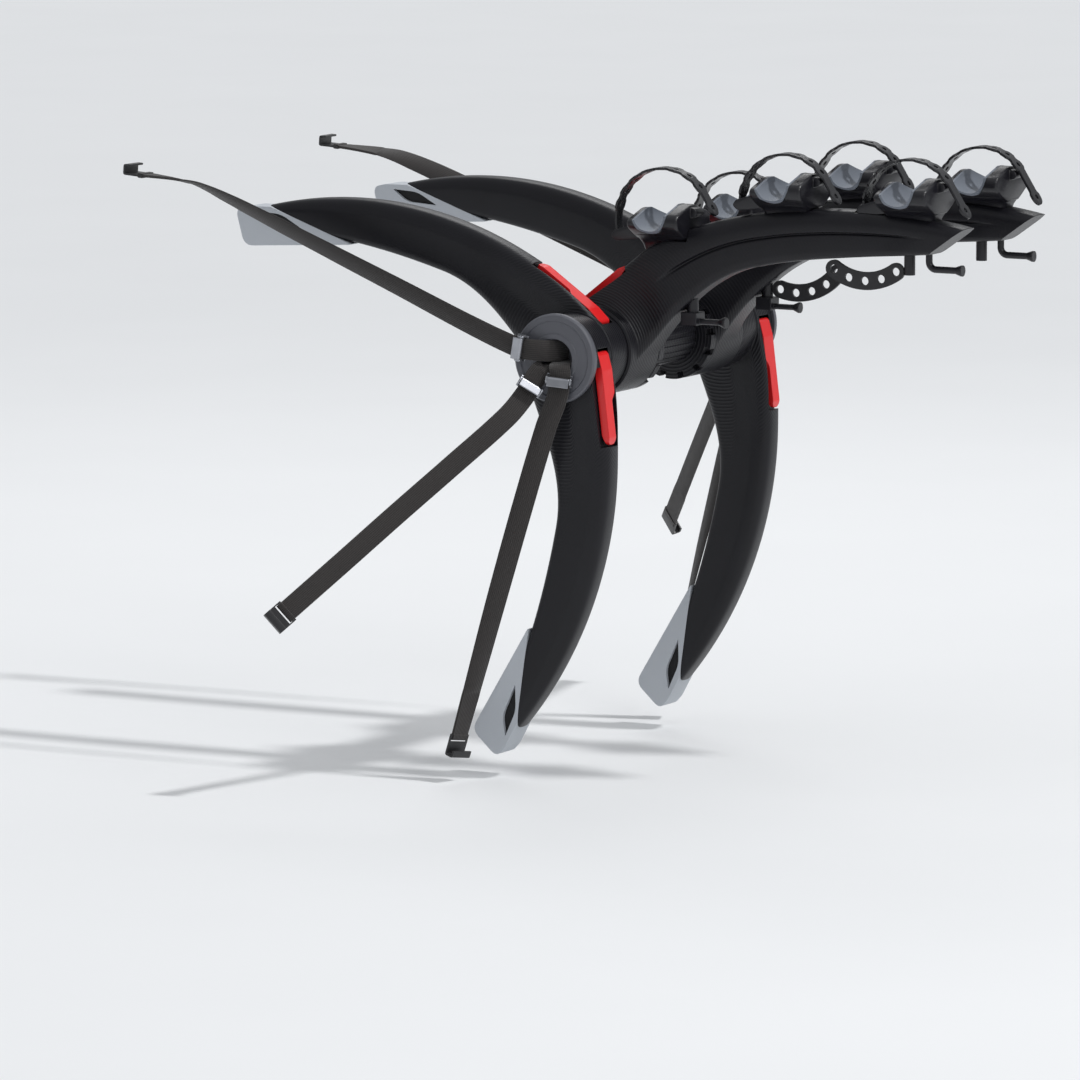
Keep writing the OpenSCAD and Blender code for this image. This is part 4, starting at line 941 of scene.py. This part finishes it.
class CARRIER_OT_cradles(bpy.types.Operator):
    """Builds the six cradles with soft edges and flared stems"""

    bl_idname = "carrier.cradles"
    bl_label = "Cradles"

    def execute(self, context):
        p = looks()
        black = speckled("cradle_plastic", tuple(p.plastic_dark), shade(p.plastic_light, 1.3), 0.32, 30.0,
                         0.00008, 0.0015)
        base = join([self.jaws(), self.stem(), self.lip()] + self.ears(), "cradle")
        for side, sign in SIDES:
            for i in range(CRADLE_N):
                y, z = cradle_place(i)
                obj = placed(base, f"cradle_{side}_{i + 1}", move(-ARM_X, y, z), sign)
                dress(obj, black, f"arm_{side}", f"cradles_{side}", slot="black_plastic")
        bpy.data.objects.remove(base)
        return {"FINISHED"}

    def outline(self, peak, inset):
        """Jaw seen along the arm: a narrow stem that flares out to the sides, then a peak."""
        half = [(17, -10), (25, -6), (34, -1), (44, 5), (44, peak - 12), (5, peak)]
        points = [Vector(q) for q in half] + [Vector((-x, z)) for x, z in reversed(half)]
        setbacks = [2.0, 3.0, 5.0, 5.0, 7.0, 4.0]
        soft = soft_corners(points, setbacks + setbacks[::-1])
        middle = Vector((0.0, 6.0))
        return [middle + (q - middle) * (1 - inset / 40) for q in soft]

    def jaws(self):
        rings = []
        rear = [(-CRADLE_REAR, 3.2), (-CRADLE_REAR + 0.7, 1.5), (-CRADLE_REAR + 2, 0.5),
                (-CRADLE_REAR + 4, 0), (-15.1, 0)]
        front = [(-15, 0), (CRADLE_FRONT - 3, 0), (CRADLE_FRONT - 1.4, 0.5), (CRADLE_FRONT - 0.5, 1.4),
                 (CRADLE_FRONT, 3)]
        for places, peak in ((rear, REAR_JAW_H), (front, FRONT_JAW_H)):
            for y, inset in places:
                rings.append([Vector((q.x, y, q.y)) for q in self.outline(peak, inset)])
        body = skin("jaws", rings)
        r = CHANNEL_R + LINING_T
        low = [Vector((r * math.cos(a), CHANNEL_R + r * math.sin(a))) for a in
               (math.pi * (1 + k / 48) for k in range(49))]
        cut(body, prism("channel", low + [Vector((r, 80)), Vector((-r, 80))], 60.0, Matrix()))
        smooth(body, 38.0)
        return body

    def stem(self):
        """Neck that narrows from the jaws down into the arm."""
        rings = []
        for z, half, rear, front in ((-5, 27, -36, 27), (-8, 21.5, -36, 27), (-11, 17.5, -36, 27),
                                     (-14, 14.5, -35, 26), (-18, 13, -34, 24), (-24, 12, -32, 22)):
            corners = soft_corners(box(-half, rear, half, front), [6.0] * 4)
            rings.append([Vector((q.x, q.y, z)) for q in corners])
        neck = skin("stem", rings)
        smooth(neck, 60.0)
        return neck

    def lip(self):
        """Catch behind the rear jaw that the strap is pulled down over."""
        points = [Vector(q) for q in ((-36, 15), (-45, 17), (-47.5, 21), (-44, 26.5), (-36, 28))]
        lip = prism("lip", soft_corners(points, [0.3, 2.0, 2.5, 2.0, 0.3]), 9.6, Matrix())
        soft_edges(lip, 1.0, 2)
        smooth(lip, 40.0)
        return lip

    def ears(self):
        """Two ears ahead of the front jaw and the pin that the strap turns on."""
        reach = EYE_R + 0.05
        points = [Vector((CRADLE_FRONT - 3, -11)), ANCHOR - Vector((0, reach)), ANCHOR + Vector((reach, 0)),
                  ANCHOR + Vector((0, reach)), Vector((CRADLE_FRONT - 3, 7))]
        pieces = []
        for sign in (-1, 1):
            ear = prism("ear", soft_corners(points, [0.3, 4.0, 4.0, 4.0, 0.3]), EAR_HALF_T,
                        move(sign * EAR_X, 0, 0))
            soft_edges(ear, 0.8, 2, 60.0)
            smooth(ear, 40.0)
            pieces.append(ear)
        pieces.append(rod("anchor", ANCHOR_R, EAR_X, move(0, ANCHOR.x, ANCHOR.y), 40))
        smooth(pieces[-1])
        return pieces


class CARRIER_OT_hold_straps(bpy.types.Operator):
    """Builds the perforated hold-down straps"""

    bl_idname = "carrier.hold_straps"
    bl_label = "Hold-down straps"

    def execute(self, context):
        rubber = speckled("strap_rubber", (0.006, 0.006, 0.008), (0.016, 0.016, 0.019), 0.26, 60.0, 0.00006)
        plan = (("left", 0, LOOSE_RISE, 18.0), ("left", 1, TIGHT_RISE, 23.0), ("left", 2, TIGHT_RISE, 34.0),
                ("right", 0, TIGHT_RISE, 1.0), ("right", 1, TIGHT_RISE, 23.0), ("right", 2, TIGHT_RISE, 34.0))
        for side, i, rise, tail in plan:
            strap = f"hold_strap_{side}_{i + 1}"
            obj = self.strap(f"hold_band_{side}_{i + 1}", i, rise, tail)
            if side == "right":
                mirror(obj)
            smooth(obj, 40.0)
            dress(obj, rubber, strap, strap, slot="strap_rubber")
        return {"FINISHED"}

    def strap(self, name, i, rise, tail):
        """Flat scalloped band with holes, bent round its arch."""
        r = (ANCHOR - Vector((0, rise))).length
        start = math.atan2(ANCHOR.y - rise, ANCHOR.x)
        end = math.radians(HOLD_END)
        arc_l = r * (end - start)
        total = arc_l + tail
        first = r * (math.radians(HOLES_FROM) - start)
        pitch = r * math.radians((HOLD_END - HOLES_SHORT - HOLES_FROM) / (HOLE_N - 1))
        holes = [first + k * pitch for k in range(HOLE_N)] + [total]
        half = HOLD_W / 2

        def width(s):
            near = min(abs(s - h) for h in holes)
            return half - sizes().scallop * ease((near - 3.0) / 5.0)

        curve = bpy.data.curves.new(name, "CURVE")
        curve.dimensions = "2D"
        curve.fill_mode = "BOTH"
        curve.extrude = (HOLD_T / 2 - HOLD_EDGE_R) * MM
        curve.bevel_depth = HOLD_EDGE_R * MM
        curve.bevel_resolution = 1
        steps = 150
        edge = [(total * k / steps, width(total * k / steps)) for k in range(steps + 1)]
        tip = [(total + half * math.sin(a), half * math.cos(a)) for a in
               (math.pi * k / 16 for k in range(1, 16))]
        ring = edge + tip + [(s, -w) for s, w in reversed(edge)]
        self.spline(curve, ring)
        for h in holes:
            self.spline(curve, [(h + HOLE_R * math.cos(a), HOLE_R * math.sin(a)) for a in
                                (-2 * math.pi * k / 20 for k in range(20))])
        flat = bpy.data.objects.new(name, curve)
        bpy.context.scene.collection.objects.link(flat)
        graph = bpy.context.evaluated_depsgraph_get()
        mesh = bpy.data.meshes.new_from_object(flat.evaluated_get(graph))
        bpy.data.objects.remove(flat)
        bm = bmesh.new()
        bm.from_mesh(mesh)
        bmesh.ops.remove_doubles(bm, verts=bm.verts, dist=1e-6)
        slices = 70
        for k in range(1, slices):
            bmesh.ops.bisect_plane(bm, geom=bm.verts[:] + bm.edges[:] + bm.faces[:], dist=1e-7,
                                   plane_co=(total * MM * k / slices, 0, 0), plane_no=(1, 0, 0))
        y0, z0 = cradle_place(i)
        along = Vector((-math.sin(end), math.cos(end)))
        for v in bm.verts:
            s, x, h = v.co.x / MM, v.co.y / MM, v.co.z / MM
            if s <= arc_l:
                a = start + s / r
                p = Vector(((r + h) * math.cos(a), rise + (r + h) * math.sin(a)))
            else:
                p = Vector(((r + h) * math.cos(end), rise + (r + h) * math.sin(end))) + along * (s - arc_l)
            v.co = Vector((-ARM_X + x, y0 + p.x, z0 + p.y)) * MM
        bmesh.ops.recalc_face_normals(bm, faces=bm.faces)
        bm.to_mesh(mesh)
        bm.free()
        band = bpy.data.objects.new(name, mesh)
        bpy.context.scene.collection.objects.link(band)
        spot = move(-ARM_X, y0 + ANCHOR.x, z0 + ANCHOR.y)
        eye = rod("eye", EYE_R, half, spot, 48)
        soft_edges(eye, 0.8, 2)
        cut(eye, rod("eye_hole", ANCHOR_HOLE_R, HOLD_W, spot, 48))
        return join([band, eye], name)

    def spline(self, curve, points):
        line = curve.splines.new("POLY")
        line.points.add(len(points) - 1)
        for p, (x, y) in zip(line.points, points):
            p.co = (x * MM, y * MM, 0.0, 1.0)
        line.use_cyclic_u = True


class CARRIER_OT_packed(bpy.types.Operator):
    """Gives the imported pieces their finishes"""

    bl_idname = "carrier.packed"
    bl_label = "Packed pieces"

    def execute(self, context):
        p = looks()
        plain = lined_plastic("tube_plastic", p)
        red = speckled("lever_red", shade(p.lever_red, 0.9), tuple(p.lever_red), 0.28, 20.0, 0.00002, 0.0012)
        cap = speckled("cap_grey", shade(p.cap_grey, 0.85), tuple(p.cap_grey), 0.45, 50.0, 0.00004, 0.001)
        pad = speckled("pad_rubber", shade(p.pad_grey, 0.9), tuple(p.pad_grey), 0.55, 40.0, 0.00005, 0.0008)
        chrome = speckled("chrome", (0.30, 0.31, 0.34), (0.44, 0.45, 0.48), 0.36, 90.0, 0.00002, 0.0008, 1.0)
        steel = speckled("pin_steel", (0.42, 0.43, 0.45), (0.52, 0.53, 0.55), 0.35, 200.0, 0.00002, 0.0003,
                         1.0)
        rubber = speckled("black_rubber", (0.010, 0.010, 0.011), (0.025, 0.025, 0.028), 0.5, 60.0, 0.00006,
                          0.0006)
        black = speckled("peg_plastic", tuple(p.plastic_dark), shade(p.plastic_light, 1.3), 0.36, 30.0,
                         0.00008, 0.002)
        # The first key that a node's name holds decides, so the lever pins come before the levers
        finishes = {
            "lever_pin": steel, "clamp_shoe": rubber, "cradle_pads": pad, "main_tube": plain,
            "stop_rings": plain, "end_cap": cap, "_lever_": red, "sway_pegs": black, "sway_strap": rubber,
            "buckle": chrome,
        }
        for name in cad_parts:
            for key, finish in finishes.items():
                if key in name:
                    paint(name, finish)
                    break
        return {"FINISHED"}


class CARRIER_PT_panel(bpy.types.Panel):
    """Lists the steps and their settings"""

    bl_idname = "CARRIER_PT_panel"
    bl_label = "Carrier"
    bl_space_type = "VIEW_3D"
    bl_region_type = "UI"
    bl_category = "Carrier"

    def draw(self, context):
        for step in STEPS:
            self.layout.operator(step.bl_idname)
        for settings in (context.scene.carrier_looks, context.scene.carrier_sizes):
            for key in settings.__annotations__:
                self.layout.prop(settings, key)


STEPS = (CARRIER_OT_stage, CARRIER_OT_webbing, CARRIER_OT_legs, CARRIER_OT_arms, CARRIER_OT_feet,
         CARRIER_OT_cradles, CARRIER_OT_hold_straps, CARRIER_OT_packed)
CLASSES = (CarrierLooks, CarrierSizes) + STEPS + (CARRIER_PT_panel,)


def register():
    for cls in CLASSES:
        bpy.utils.register_class(cls)
    bpy.types.Scene.carrier_looks = bpy.props.PointerProperty(type=CarrierLooks)
    bpy.types.Scene.carrier_sizes = bpy.props.PointerProperty(type=CarrierSizes)


def unregister():
    del bpy.types.Scene.carrier_looks
    del bpy.types.Scene.carrier_sizes
    for cls in reversed(CLASSES):
        bpy.utils.unregister_class(cls)


def main():
    register()
    bpy.ops.carrier.stage()
    bpy.ops.carrier.webbing()
    bpy.ops.carrier.legs()
    bpy.ops.carrier.arms()
    bpy.ops.carrier.feet()
    bpy.ops.carrier.cradles()
    bpy.ops.carrier.hold_straps()
    bpy.ops.carrier.packed()


if __name__ == "__main__":
    main()
